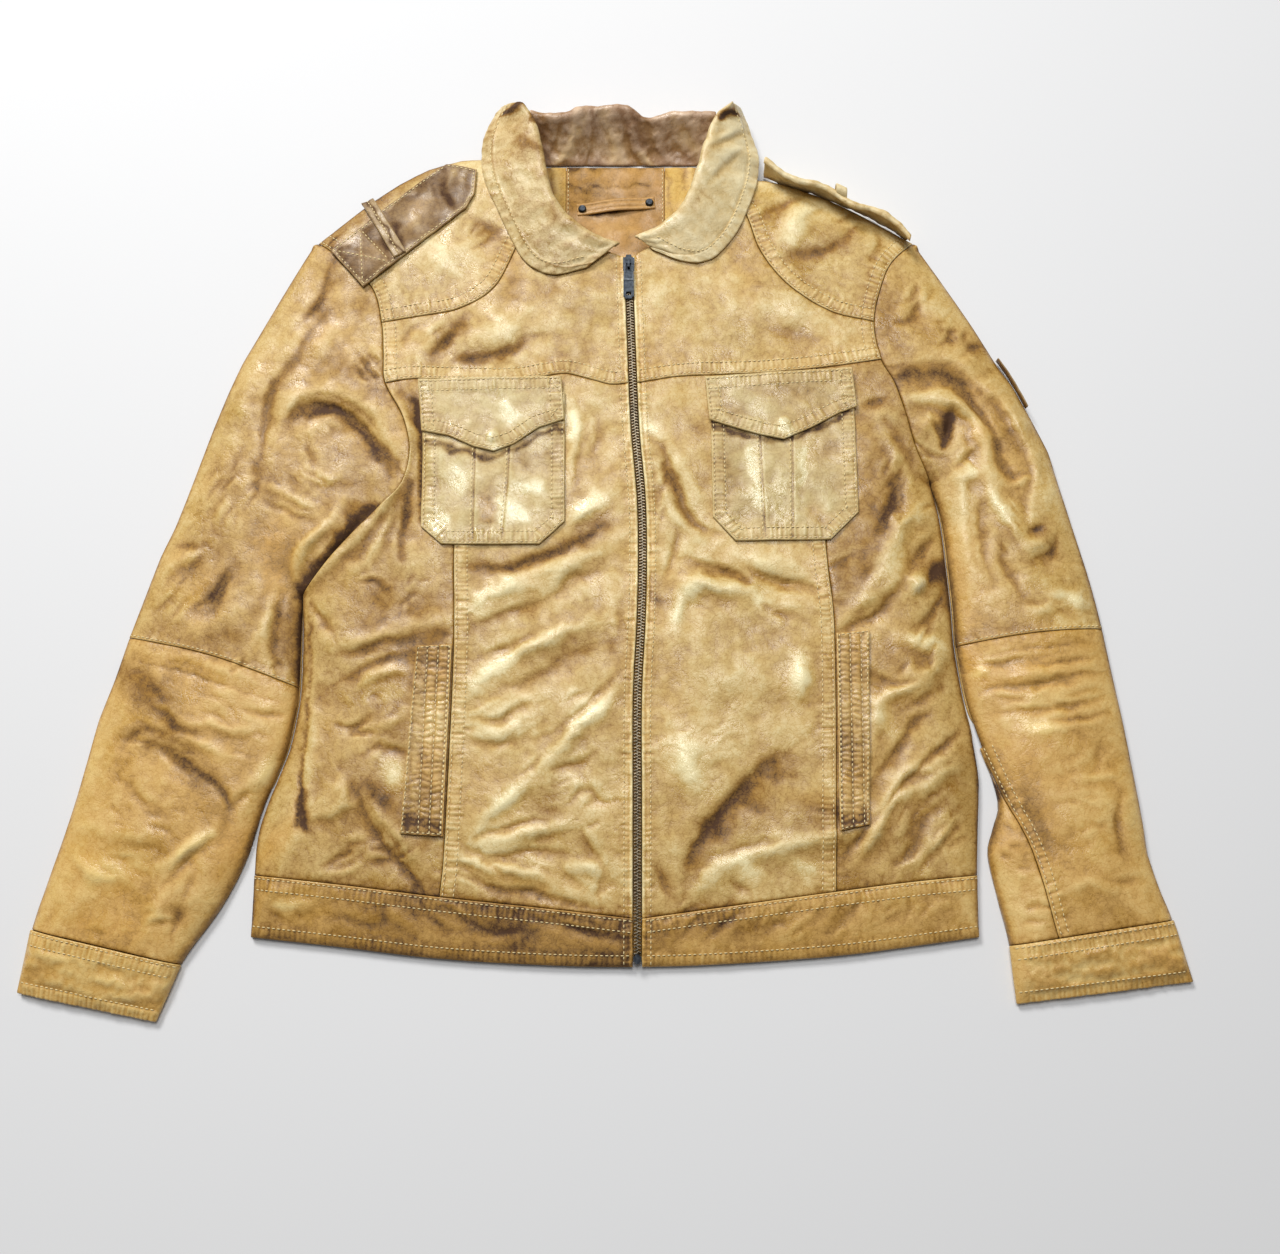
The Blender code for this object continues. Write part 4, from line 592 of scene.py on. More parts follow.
def rest_height(points, zone):
    """Height of the underside of the upper layer: full, folded and slightly uneven."""
    points = np.asarray(points, float)[:, :2]
    inside = np.full(len(points), 1.0)
    for edge, reach in EDGES[zone]:
        inside = np.minimum(inside, nearest(points, edge)[0] / reach)
    height = FULLNESS * np.sqrt(1 - (1 - inside) ** 2)
    free = np.clip(inside / EDGE_EASE, 0, 1) ** 0.7
    bent = points + np.stack([2.4 * noise(points, 34, 1) + 1.3 * noise(points, 12, 2),
                              2.4 * noise(points, 34, 3) + 1.3 * noise(points, 12, 4)], 1)
    uneven = 1.1 * noise(points, 52, 5) + 0.45 * noise(bent, 19, 6) + 0.18 * noise(bent, 7.5, 7)
    height = height + free * (folds_at(bent, zone) + uneven)
    low = np.clip((height - LEAST_RISE) / RISE_EASE, -4, 1)
    return LAYER + np.where(height > LEAST_RISE + RISE_EASE, height,
                            LEAST_RISE + RISE_EASE * np.exp(np.minimum(low - 1, 0)))


def inset(outline, by):
    """Move the sides of a counter-clockwise outline inwards."""
    run = np.roll(outline, -1, 0) - outline
    run /= np.maximum(np.linalg.norm(run, axis=1, keepdims=True), 1e-9)
    normal = np.stack([-run[:, 1], run[:, 0]], 1)
    both = normal + np.roll(normal, 1, 0)
    both /= np.maximum(np.linalg.norm(both, axis=1, keepdims=True), 1e-9)
    return outline + both * by / np.maximum((both * normal).sum(1, keepdims=True), 0.4)


def within(points, outline):
    """Which points lie inside an outline."""
    x, y = points[:, 0], points[:, 1]
    odd = np.zeros(len(points), bool)
    for (ax, ay), (bx, by) in zip(outline, np.roll(outline, -1, 0)):
        if ay != by:
            odd ^= ((ay > y) != (by > y)) & (x < (bx - ax) * (y - ay) / (by - ay) + ax)
    return odd


def evenly(outline, step):
    """Points at even steps round a closed outline, its corners kept."""
    made = []
    for a, b in zip(outline, np.roll(outline, -1, 0)):
        count = max(round(math.hypot(*(b - a)) / step), 1)
        made += [a + (b - a) * k / count for k in range(count)]
    return np.array(made)


def twice_area(outline):
    """Twice an outline's area, positive where it runs counter-clockwise."""
    after = np.roll(outline, -1, 0)
    return (outline[:, 0] * after[:, 1] - after[:, 0] * outline[:, 1]).sum()


def joined(*paths):
    """One closed counter-clockwise outline from paths that follow on from each other."""
    points = [np.asarray(p, float) for path in paths for p in path]
    kept = [p for p, q in zip(points, points[-1:] + points[:-1]) if math.hypot(*(p - q)) > 0.05]
    outline = np.array(kept)
    return outline if twice_area(outline) > 0 else outline[::-1]


FINE, OPEN = 1.45, 2.45     # triangles near a seam, and in open leather


def cut_mesh(outline, seams, fine, coarse):
    """Points and triangles over an outline, fine within the reach of its seams."""
    outline = inset(outline, GAP / 2)
    rim = evenly(outline, fine)
    sparse = np.vstack([evenly(outline, 6.0), outline[:1]])
    low, high = outline.min(0), outline.max(0)
    chosen = []
    for spacing in (fine, coarse):
        rows = np.arange(low[1], high[1], spacing * 0.866)
        grid = np.array([(x + (k % 2) * spacing / 2, y) for k, y in enumerate(rows)
                         for x in np.arange(low[0], high[0], spacing)])
        grid = grid[within(grid, outline)]
        to_seam = np.full(len(grid), np.inf)
        for path, reach in seams:
            to_seam = np.minimum(to_seam, nearest(grid, path)[0] - reach)
        to_rim = nearest(grid, sparse)[0]
        keep = (to_seam < 0) if spacing == fine else (to_seam >= 0.5 * coarse)
        chosen.append(grid[keep & (to_rim > 0.85 * (1.6 if spacing == fine else coarse))])
    rings = [inset(rim, by) for by in (0.45, 1.1)]
    rings = [ring[nearest(ring, sparse)[0] > 0.8 * by] for ring, by in zip(rings, (0.45, 1.1))]
    inner = np.vstack(chosen + rings)
    inner = inner + np.stack([noise(inner, 3.1, 11), noise(inner, 3.1, 12)], 1) * 0.12
    count = len(rim)
    given = [tuple(p) for p in np.vstack([rim, inner])]
    border = [(k, (k + 1) % count) for k in range(count)]
    verts, _, faces, _, _, _ = delaunay_2d_cdt(given, border, [], 1, 1e-6)
    points = np.array([tuple(v) for v in verts])
    faces = np.array([tuple(face) for face in faces])
    used = np.unique(faces)
    renumber = np.full(len(points), -1)
    renumber[used] = np.arange(len(used))
    points, faces = points[used], renumber[faces]
    a, b, c = points[faces[:, 0]], points[faces[:, 1]], points[faces[:, 2]]
    clockwise = ((b - a)[:, 0] * (c - a)[:, 1] - (b - a)[:, 1] * (c - a)[:, 0]) < 0
    faces[clockwise] = faces[clockwise][:, ::-1]
    return points, faces


def sides_of(faces):
    """The three directed sides of each triangle."""
    return np.vstack([faces[:, [0, 1]], faces[:, [1, 2]], faces[:, [2, 0]]])


def shell(name, upper, lower, faces, marks):
    """A closed shell between an upper and a lower surface, with marks per point."""
    count = len(upper)
    pairs = sides_of(faces)
    keys = pairs[:, 0] * count + pairs[:, 1]
    rim = pairs[~np.isin(keys, pairs[:, 1] * count + pairs[:, 0])]
    a, b = rim[:, 0], rim[:, 1]
    wall = np.vstack([np.column_stack([b, a, a + count]),
                      np.column_stack([b, a + count, b + count])])
    corners = np.vstack([faces, faces[:, ::-1] + count, wall])
    mesh = bpy.data.meshes.new(name)
    mesh.vertices.add(2 * count)
    mesh.vertices.foreach_set("co", (np.vstack([upper, lower]) * MM).ravel())
    mesh.loops.add(3 * len(corners))
    mesh.loops.foreach_set("vertex_index", corners.ravel().astype(np.int32))
    mesh.polygons.add(len(corners))
    mesh.polygons.foreach_set("loop_start", np.arange(0, 3 * len(corners), 3, dtype=np.int32))
    mesh.update(calc_edges=True)
    mesh.validate()
    mesh.shade_smooth()
    for mark, values in marks.items():
        layer = mesh.attributes.new(mark, "FLOAT", "POINT")
        layer.data.foreach_set("value", np.concatenate([values, values]).astype(np.float32))
    item = bpy.data.objects.new(name + "_leather", mesh)
    scene.collection.objects.link(item)
    return item


def relief(faces, top, rounds):
    """How far each point stands over the average of its surroundings."""
    pairs = sides_of(faces)
    ends = np.concatenate([pairs[:, 0], pairs[:, 1]])
    others = np.concatenate([pairs[:, 1], pairs[:, 0]])
    degree = np.bincount(ends, minlength=len(top))
    level = top.copy()
    for _ in range(rounds):
        level = np.bincount(ends, weights=level[others], minlength=len(top)) / degree
    return top - level


# Stains, rubbed places, glossy places and painted light of each zone or piece: rows that darken along
# a fold's trough, under or beside a raised edge or in a hollow are painted shade, and rows that raise
# the tone together with much gloss are painted highlights on glossy spots. Each row gives course,
# reach, and what it adds to the tone, the warmth and the gloss
STAINS_AND_PAINTED_LIGHT = {
    "sleeve L": (
        # painted shadow in the dark gap at the left armpit
        (((-194, 13), (-212, -11), (-226, -31), (-239, -47)), 6.8, -0.95, -0.5, -0.8),
        # painted shade in the trough of the crescent fold at the top of the sleeve
        (((-258, 91), (-230, 98), (-200, 78), (-176, 50)), 7, -0.24, 0.15, -0.1),
        (((-251, -64), (-252, -101), (-241, -121)), 9, -0.26, 0, -0.2),
        (((-380, -115), (-339, -144), (-336, -164)), 13, -0.2, -0.35, -0.3),
        (((-352, -173), (-298, -204)), 10, -0.14, -0.1, -0.2),
        (((-369, -166), (-362, -161)), 6, -0.2, -0.2, -0.2),
        (((-263, -142), (-248, -154), (-257, -173)), 11, -0.02, 0.4, 0),
        (((-272, -244), (-298, -267)), 13, -0.1, 0.35, 0),
        (((-267, -18), (-257, -51)), 19, 0.02, 0.5, 0),
        (((-311, 38), (-317, -1)), 16, -0.1, 0.1, 0),
        (((-319, -66), (-301, -39)), 12, -0.12, 0.3, 0),
        (((-231, 228), (-242, 190)), 11, -0.12, -0.1, 0),
        (((-198, 135), (-189, 127)), 11, -0.16, 0.1, 0),
        # this row and the next two: painted highlights on glossy spots, with real gloss
        (((-263, -197), (-256, -195)), 9, 0.26, -0.3, 0.8),
        (((-322, -260), (-302, -244)), 6, 0.2, -0.2, 0.7),
        (((-384, -278), (-363, -267)), 11, 0.16, -0.1, 0.5),
        (((-329, -297), (-319, -308)), 7, -0.16, 0.2, 0),
        (((-393, -310), (-336, -319)), 8, -0.04, 0.4, 0.3),
        (((-378, -120), (-339, -157), (-309, -202)), 15, -0.12, 0, -0.3),
        (((-300, -217), (-278, -262)), 12, -0.12, 0.2, -0.2),
        (((-407, -262), (-361, -277)), 14, -0.06, 0.3, 0),
        (((-340, -27), (-310, -51)), 12, -0.12, 0.3, 0),
        (((-231, 187), (-253, 143)), 12, -0.1, 0.2, 0),
        (((-378, -155), (-317, -140)), 10, 0.05, 0, 0.5),
        (((-400, -255), (-346, -262)), 14, 0.06, -0.1, 0.7),
        (((-225, 74), (-232, 40)), 14, 0.05, 0, 0.4),
    ),
    "body": (
        # painted shadow beside the left pocket's outer edge
        (((-156, 105), (-150, 68), (-147, 8)), 4.5, -0.36, 0, -0.3),
        (((-157, 34), (-163, -24)), 6, -0.16, 0, 0),
        (((-185, -45), (-172, -51)), 6, -0.2, 0, 0.3),
        (((-259, -258), (-235, -226)), 9, 0.02, 0.5, 0),
        # painted shadow in the slot at the end of the left side fold
        (((-232, -216), (-229, -239)), 4.5, -0.42, 0, -0.3),
        # this row and the rows below that raise the tone with gloss of 0.6 or more: painted highlights
        # on glossy spots, with real gloss
        (((-165, -193), (-164, -203)), 7, 0.34, -0.3, 1),
        (((-165, -136), (-172, -133)), 8, 0.2, -0.2, 0.9),
        (((-102, -124), (-76, -108)), 7, 0.22, -0.2, 0.8),
        (((-105, -65), (-77, -49)), 8, 0.2, -0.2, 0.8),
        (((-82, -224), (-71, -216)), 9, 0.22, -0.2, 0.9),
        (((-22, -157), (-3, -144)), 8, 0.18, -0.2, 0.8),
        (((-182, -209), (-173, -218)), 8, -0.18, 0, 0),
        (((-136, -288), (-51, -298), (17, -311)), 15, -0.18, 0.1, 0),
        (((-93, -317), (13, -335)), 13, -0.12, 0.2, 0),
        (((-246, -294), (-239, -299)), 8, 0.3, -0.3, 0.9),
        (((-98, -271), (-51, -286)), 9, -0.1, 0.3, 0),
        (((10, -95), (8, -122)), 7, -0.14, 0.1, 0),
        (((55, -74), (68, -54)), 7, 0.26, -0.3, 1),
        (((117, -51), (121, -61)), 5, 0.2, -0.3, 0.9),
        (((66, -190), (70, -201)), 15, 0.18, -0.25, 1),
        (((151, -108), (150, -122)), 9, 0.24, -0.25, 1),
        (((103, -265), (109, -271)), 7, 0.22, -0.2, 0.9),
        (((148, -267), (154, -271)), 6, 0.2, -0.2, 0.9),
        (((251, -45), (246, -51)), 6, 0.3, -0.3, 1),
        (((245, -91), (264, -95)), 6, 0.24, -0.2, 0.9),
        (((214, -153), (220, -166)), 8, 0.2, -0.2, 0.9),
        (((126, -190), (93, -222), (64, -265)), 15, -0.16, 0.05, 0),
        (((274, -26), (272, -63)), 8, -0.26, 0.1, 0),
        (((32, -49), (39, -61)), 7, -0.2, 0, 0),
        (((95, -35), (115, -47)), 7, -0.2, 0, 0),
        (((43, -317), (96, -307)), 15, -0.16, 0.15, 0),
        (((161, -226), (196, -233)), 7, -0.16, 0.15, 0),
        (((53, -290), (36, -269)), 10, -0.12, 0.1, 0),
        (((36, 83), (33, 87)), 5, 0.26, -0.3, 0.9),
        (((46, 94), (71, 85)), 10, -0.14, -0.1, 0),
        (((43, 62), (56, 18), (69, 1)), 7, -0.16, 0, 0),
        (((258, -38), (273, -30)), 8, -0.4, 0, -0.2),
        (((247, 12), (221, -33)), 8, 0.14, -0.2, 0.7),
        (((219, 11), (232, 31)), 10, -0.14, 0, 0),
        (((-29, 94), (-27, 81)), 6, 0.26, -0.3, 0.9),
        (((-10, 21), (-23, 13)), 8, 0.24, -0.3, 0.9),
        (((-2, 1), (-50, -25), (-106, -33)), 8, -0.2, 0.1, 0),
        (((-142, 243), (-121, 228)), 13, 0.12, -0.2, 0.7),
        (((-87, 232), (-77, 213)), 12, -0.06, 0.45, 0),
        (((-146, 148), (-120, 175)), 9, -0.2, 0, 0),
        (((-119, 143), (-72, 155)), 8, -0.22, 0, 0),
        (((-105, 265), (-91, 250)), 11, -0.1, 0, 0),
        (((115, 238), (126, 212)), 14, -0.16, 0.1, 0),
        (((154, 236), (206, 259)), 14, -0.18, 0, 0),
        (((154, 253), (167, 276)), 10, 0.16, -0.2, 0.6),
        (((131, 272), (167, 293)), 10, -0.14, 0, 0),
        (((223, 262), (229, 238)), 9, -0.12, 0, 0),
        (((18.6, -336), (18.6, -217), (18.6, -139), (21.6, -74), (22.6, -25), (21.6, 25), (16.6, 84),
          (13.6, 154), (10.6, 234)), 1.5, 0.16, 0.1, 0.2),
        (((29.4, -336), (29.4, -217), (29.4, -139), (32.4, -74), (33.4, -25), (32.4, 25), (27.4, 84),
          (24.4, 154), (21.4, 234)), 1.5, 0.16, 0.1, 0.2),
        (((17, 232), (17, 222)), 6, -0.1, 0.9, 0),
        # painted shade in the narrow trough at the foot of the left side fold's step
        (((-235, -62), (-234, -160), (-236, -238)), 2.2, -0.22, 0.1, -0.3),
        (((83, -244), (118, -209), (149, -186)), 16, -0.12, 0.1, -0.2),
        (((149, -217), (194, -226)), 7, -0.16, 0.2, -0.3),
        # painted shadow under the front of the left collar leaf
        (((-7, 209), (-40, 200), (-73, 196)), 10, -0.12, 0.1, -0.1),
        # painted shadow between the left epaulette and the shoulder edge
        (((-236, 250), (-186, 298), (-148, 321)), 11, -0.3, -0.3, -0.3),
        (((-175, 143), (-172, 169)), 9, -0.06, 0.2, 0),
        (((-148, 196), (-107, 214)), 16, 0.02, 0, 0.4),
        (((142, 196), (160, 250)), 14, 0.05, 0, 0.3),
        (((210, 241), (225, 196)), 12, -0.1, 0.1, 0),
        (((49, -186), (72, -175)), 12, 0.06, 0, 0.7),
        (((87, -262), (117, -259)), 10, 0.06, 0, 0.6),
        (((151, -116), (152, -140)), 8, 0.06, 0, 0.8),
        (((220, -43), (233, -27)), 8, 0.05, 0, 0.8),
        (((230, -92), (254, -92)), 7, 0.06, 0, 0.8),
        (((205, -140), (221, -132)), 9, 0.06, 0, 0.8),
        (((-171, -186), (-162, -209)), 9, 0.08, -0.2, 0.8),
        (((-127, -244), (-129, -262)), 6, 0.1, -0.2, 0.9),
        (((-120, -76), (-122, -92)), 6, 0.1, -0.2, 0.9),
        (((-82, -209), (-58, -240)), 12, 0.05, 0, 0.6),
        (((-161, -124), (-185, -132)), 8, 0.05, 0, 0.8),
        (((-35, -247), (11, -209)), 9, 0.05, 0, 0.7),
        (((-238, -292), (-216, -296)), 9, 0.12, -0.1, 0.7),
    ),
    "sleeve R": (
        # painted shade in the hollow beside the right armhole
        (((278, 94), (275, 84), (273, 72)), 5, -0.4, 0, -0.4),
        (((242, 129), (274, 129), (293, 115), (315, 69), (325, 45)), 10, -0.08, 0.25, 0),
        (((254, 84), (270, 88)), 7, -0.1, 0.4, 0),
        (((265, 105), (294, 90), (305, 69)), 6, 0.08, 0.3, 0.3),
        # this row and the next, and the later rows that raise the tone with gloss: painted highlights
        # on glossy spots
        (((292, 55), (296, 49)), 5, 0.26, -0.3, 0.9),
        (((309, 24), (319, 6)), 5, 0.18, -0.2, 0.8),
        (((346, -2), (355, -18)), 7, -0.2, 0, 0),
        (((280, -8), (286, -77)), 12, -0.02, 0.4, 0),
        (((357, -79), (387, -79)), 6, 0.2, -0.1, 0.5),
        (((364, -58), (373, -62)), 7, 0.2, -0.2, 0.8),
        (((274, 171), (307, 158)), 10, -0.18, 0, 0),
        (((264, 238), (312, 176)), 10, -0.04, -0.1, 0),
        (((331, -228), (339, -251)), 12, -0.1, 0.2, -0.1),
        (((367, -154), (383, -157)), 11, -0.12, -0.1, 0),
        (((298, -244), (324, -267)), 12, -0.14, 0.2, -0.2),
        (((396, -211), (394, -253)), 7, -0.14, 0, 0),
        (((331, -159), (338, -159)), 5, 0.2, -0.2, 0.8),
        (((288, -118), (292, -115)), 5, 0.26, -0.2, 0.8),
        # painted shade in a short crease
        (((297, -206), (304, -209)), 5, -0.35, 0, -0.3),
        (((281, -98), (294, -125), (364, -120)), 9, -0.1, 0.35, 0),
        (((239, 125), (288, 132), (320, 108)), 11, -0.08, 0.3, -0.2),
        (((320, -179), (328, -240)), 14, -0.12, 0.3, -0.2),
        (((330, 6), (343, -43)), 12, 0.07, 0, 0.6),
        (((333, -76), (356, -84)), 8, 0.07, 0, 0.8),
        (((321, -159), (336, -161)), 7, 0.08, 0, 0.9),
        (((281, -100), (299, -124)), 9, 0.06, 0.3, 0.7),
    ),
    "pocket_L": (
        # painted shadow under the flap's lower edge
        (((-147, 71), (-120, 63), (-93, 57), (-64, 72), (-38, 81)), 3.6, -0.42, 0, -0.3),
        # this row and the next four: painted whitish highlights on glossy spots, with real gloss
        (((-120, 44), (-117, 33)), 6, 0.36, -0.4, 1.6),
        (((-137, 0), (-131, 6)), 6, 0.38, -0.4, 1.6),
        (((-85, 21), (-83, 4)), 4, 0.34, -0.4, 1.6),
        (((-76, 16), (-70, 9)), 5, 0.38, -0.4, 1.6),
        (((-69, 32), (-56, 32)), 4.5, 0.34, -0.4, 1.6),
        (((-97, 21), (-95, 8)), 5, -0.14, 0.5, 0),
        (((-69, 54), (-45, 60)), 7, -0.14, 0.1, 0),
        (((-142, 54), (-140, 28)), 4, -0.14, 0, 0),
    ),
    "flap_L": (
        # these two rows: painted highlights on glossy spots, with real gloss
        (((-83, 97), (-77, 90)), 6, 0.34, -0.4, 1.5),
        (((-94, 73), (-92, 65)), 4, 0.34, -0.4, 1.5),
        (((-146, 95), (-126, 76)), 6, -0.16, 0.1, 0),
        (((-46, 93), (-59, 91)), 5, -0.12, 0.1, 0),
    ),
    "pocket_R": (
        # painted shadow under the flap's lower edge
        (((83, 86), (112, 77), (141, 72), (158, 77), (195, 96)), 3.6, -0.42, 0, -0.3),
        # this row and the next two: painted highlights on glossy spots, with real gloss
        (((116, 61), (120, 37), (122, 19)), 4, 0.36, -0.4, 1.6),
        (((158, 61), (155, 37)), 3, 0.34, -0.4, 1.6),
        (((139, 37), (139, 16)), 8, 0.16, -0.2, 0.8),
        (((168, 57), (181, 68)), 7, -0.16, 0.1, 0),
        (((166, 11), (176, 3)), 7, -0.1, 0.3, 0),
        (((92, 54), (98, 19)), 7, -0.06, 0.2, 0),
    ),
    "flap_R": (
        # painted highlight on a glossy spot, with real gloss
        (((142, 82), (147, 78)), 4, 0.34, -0.4, 1.5),
        (((92, 110), (104, 92)), 7, -0.12, 0.1, 0),
        (((118, 118), (159, 113)), 8, -0.04, 0.1, 0.2),
    ),
    "welt_L": (
        # painted shade at the welt's lower end
        (((-154, -233), (-120, -240)), 6, -0.26, 0.4, -0.2),
        (((-141, -105), (-121, -118)), 8, -0.06, 0.4, 0),
        (((-131, -144), (-135, -171)), 8, 0.1, 0, 0.5),
        (((-143, -184), (-137, -216)), 7, -0.08, 0.2, 0),
    ),
    "welt_R": (
        (((184, -166), (196, -205)), 8, -0.14, 0.1, 0),
        (((191, -96), (196, -122)), 7, -0.06, 0.1, 0),
        # painted shade at the welt's lower end
        (((178, -236), (204, -231)), 7, -0.34, 0.3, -0.3),
    ),
    "collar_L": (
        # this row and the next: painted shade in the deep creases at the leaf's back end
        (((-89, 361), (-73, 364)), 3, -0.75, 0, -0.5),
        (((-67, 357), (-62, 347)), 3, -0.5, 0, -0.4),
        (((-74, 331), (-57, 319)), 7, -0.12, 0.1, 0),
        (((-46, 263), (-23, 253)), 6, -0.1, 0.2, 0),
        (((-71, 303), (-64, 293)), 7, 0.08, -0.1, 0.6),
        (((-91, 351), (-74, 351)), 8, -0.05, 0.3, 0),
    ),
    "collar_R": (
        # painted shade in the deep crease at the leaf's back end
        (((92, 353), (108, 362)), 2.8, -0.75, 0, -0.5),
        (((88, 333), (78, 317)), 7, -0.08, 0.2, 0),
        (((67, 269), (89, 289)), 8, -0.12, 0, 0),
        (((44, 258), (57, 269)), 5, -0.1, 0.1, 0),
    ),
    "collar_back": (
        # painted shade along the stand's foot; below, rows that darken along troughs are painted shade
        # and pale glossy rows on ridges are painted highlights
        (((-54, 327), (2, 324), (76, 324)), 3.5, -0.35, 0, -0.3),
        (((-24, 356), (-38, 332), (-52, 322)), 4, 0.3, 0.2, 0.6),
        (((-5, 362), (10, 326)), 6, 0.2, 0.1, 0.5),
        (((19, 362), (20, 352), (39, 324)), 6, -0.2, 0, 0),
        (((-40, 345), (0, 345), (60, 340)), 16, 0.1, 0.1, 0),
        (((57, 354), (75, 338)), 5, 0.2, 0.2, 0.5),
        (((-60, 352), (-56, 326)), 4, -0.2, 0, 0),
        (((26, 335), (44, 321)), 4, 0.25, 0.3, 0.4),
    ),
    "neck_facing": (
        (((-35, 306), (-17, 302), (2, 304), (35, 308)), 2.5, -0.22, 0.2, 0),
        (((-19, 320), (35, 320)), 9, 0.06, 0.1, 0),
        # painted shadow of the hanger loop
        (((-16, 279), (28, 286)), 2.5, -0.4, 0, 0),
        (((-9, 264), (13, 264)), 12, 0.1, 0.3, 0),
        # painted shade under the foot of the collar stand
        (((-37, 325), (45, 325)), 2.5, -0.3, 0, 0),
        (((12, 234), (24, 234)), 9, 0.15, 0.8, 0),
    ),
    "lining_L": (
        (((-54, 324), (-48, 300)), 3, -0.2, 0, 0),
    ),
    "lining_R": (
        (((50, 320), (52, 280)), 2.5, -0.18, 0, 0),
        (((65, 320), (63, 304)), 2.5, -0.14, 0, 0),
    ),
    "epaulette_L": (
        (((-166, 266), (-157, 283)), 9, 0.22, 0.3, 0.4),
        (((-134, 321), (-130, 311)), 7, 0.18, 0, 0.5),
        (((-123, 308), (-112, 296)), 8, 0.08, 0.1, 0.3),
        (((-134, 283), (-140, 298)), 4, -0.25, 0, 0),
        (((-180, 261), (-174, 248)), 4, -0.25, 0, 0),
        (((-150, 308), (-171, 292)), 6, -0.08, 0, 0),
        (((-196, 274), (-182, 240)), 3, -0.35, 0, -0.3),
        (((-215, 251), (-198, 240)), 7, 0.1, 0.2, 0.3),
        (((-231, 238), (-139, 321)), 2.0, 0.34, 0, 0),
        (((-231, 238), (-204, 207)), 1.6, 0.3, 0, 0),
        (((-203, 207), (-121, 278), (-114, 291), (-113, 314)), 1.6, 0.26, 0, 0),
        (((-215, 235), (-190, 232)), 9, 0.06, 0.3, -0.2),
    ),
    "carrier_L": (
        # painted shade in the groove along the carrier's fold
        (((-205, 289), (-173, 233)), 1.5, -0.5, 0, -0.4),
    ),
    "cuff_L": (
        # painted highlight on a glossy spot, with real gloss
        (((-400, -345), (-370, -350)), 12, 0.14, -0.2, 0.8),
    ),
    "cuff_R": (
        # painted highlight on a glossy spot, with real gloss
        (((360, -342), (390, -338)), 14, 0.08, -0.2, 0.7),
    ),
}


RELIEF_ROUNDS = (4, 45)             # averaging for the fine and for the broad relief
DARK_TONE, BROWN_TONE = 0.36, 0.42  # below these the wax is dull, and the brown warmer


def colour_marks(points, faces, top, tone, warm, gloss, zone, grain=None):
    """Tone, warmth and gloss of the leather at each point: wear, stains, painted shade in creases and
    hollows, and painted highlights on ridges and glossy spots.
    """
    bent = points + np.stack([4.5 * noise(points, 12, 28), 4.5 * noise(points, 12, 29)], 1)
    grain = points if grain is None else grain
    fine, broad = [relief(faces, top, rounds) for rounds in RELIEF_ROUNDS]
    # pale on raised places and dark in hollows: partly real wear, partly painted shade in creases and
    # painted highlights on ridges
    wear_and_crease_shade = 0.10 * np.tanh(fine * 4.0) + 0.12 * np.tanh(broad * 0.7)
    cloud = 0.11 * noise(grain, 63, 21) + 0.05 * noise(grain, 24, 22)
    tone = tone + wear_and_crease_shade + cloud
    warm = warm + 0.20 * noise(grain, 71, 24) + 0.12 * noise(grain, 21, 25) - 0.7 * wear_and_crease_shade
    gloss = gloss + 0.5 * noise(grain, 38, 26) + 0.45 * np.tanh(3 * noise(bent, 13, 27)) + 0.3 * wear_and_crease_shade
    for course, reach, add_tone, add_warm, add_gloss in STAINS_AND_PAINTED_LIGHT.get(zone, ()):
        share = np.exp(-(nearest(bent, course)[0] / reach) ** 2)
        tone = tone + share * add_tone
        warm = warm + share * add_warm
        gloss = gloss + share * add_gloss
    gloss = gloss - 4.5 * np.clip(DARK_TONE - tone, 0, 0.3)
    warm = warm + 0.8 * np.clip(BROWN_TONE - tone, 0, 0.4)
    return {"tone": np.clip(tone, 0, 1), "warm": np.clip(warm, 0, 1),
            "gloss": np.clip(gloss, -0.8, 1)}


# DEEP is the darkest tone, reached where painted crease shade and dark stains add up
DEEP, GLOW = (0.06, 0.02, 0.001), (0.84, 0.60, 0.21)     # deepest crease, lightest amber
CRUMPLE = 0.30                                           # depth of the fine bump, in mm


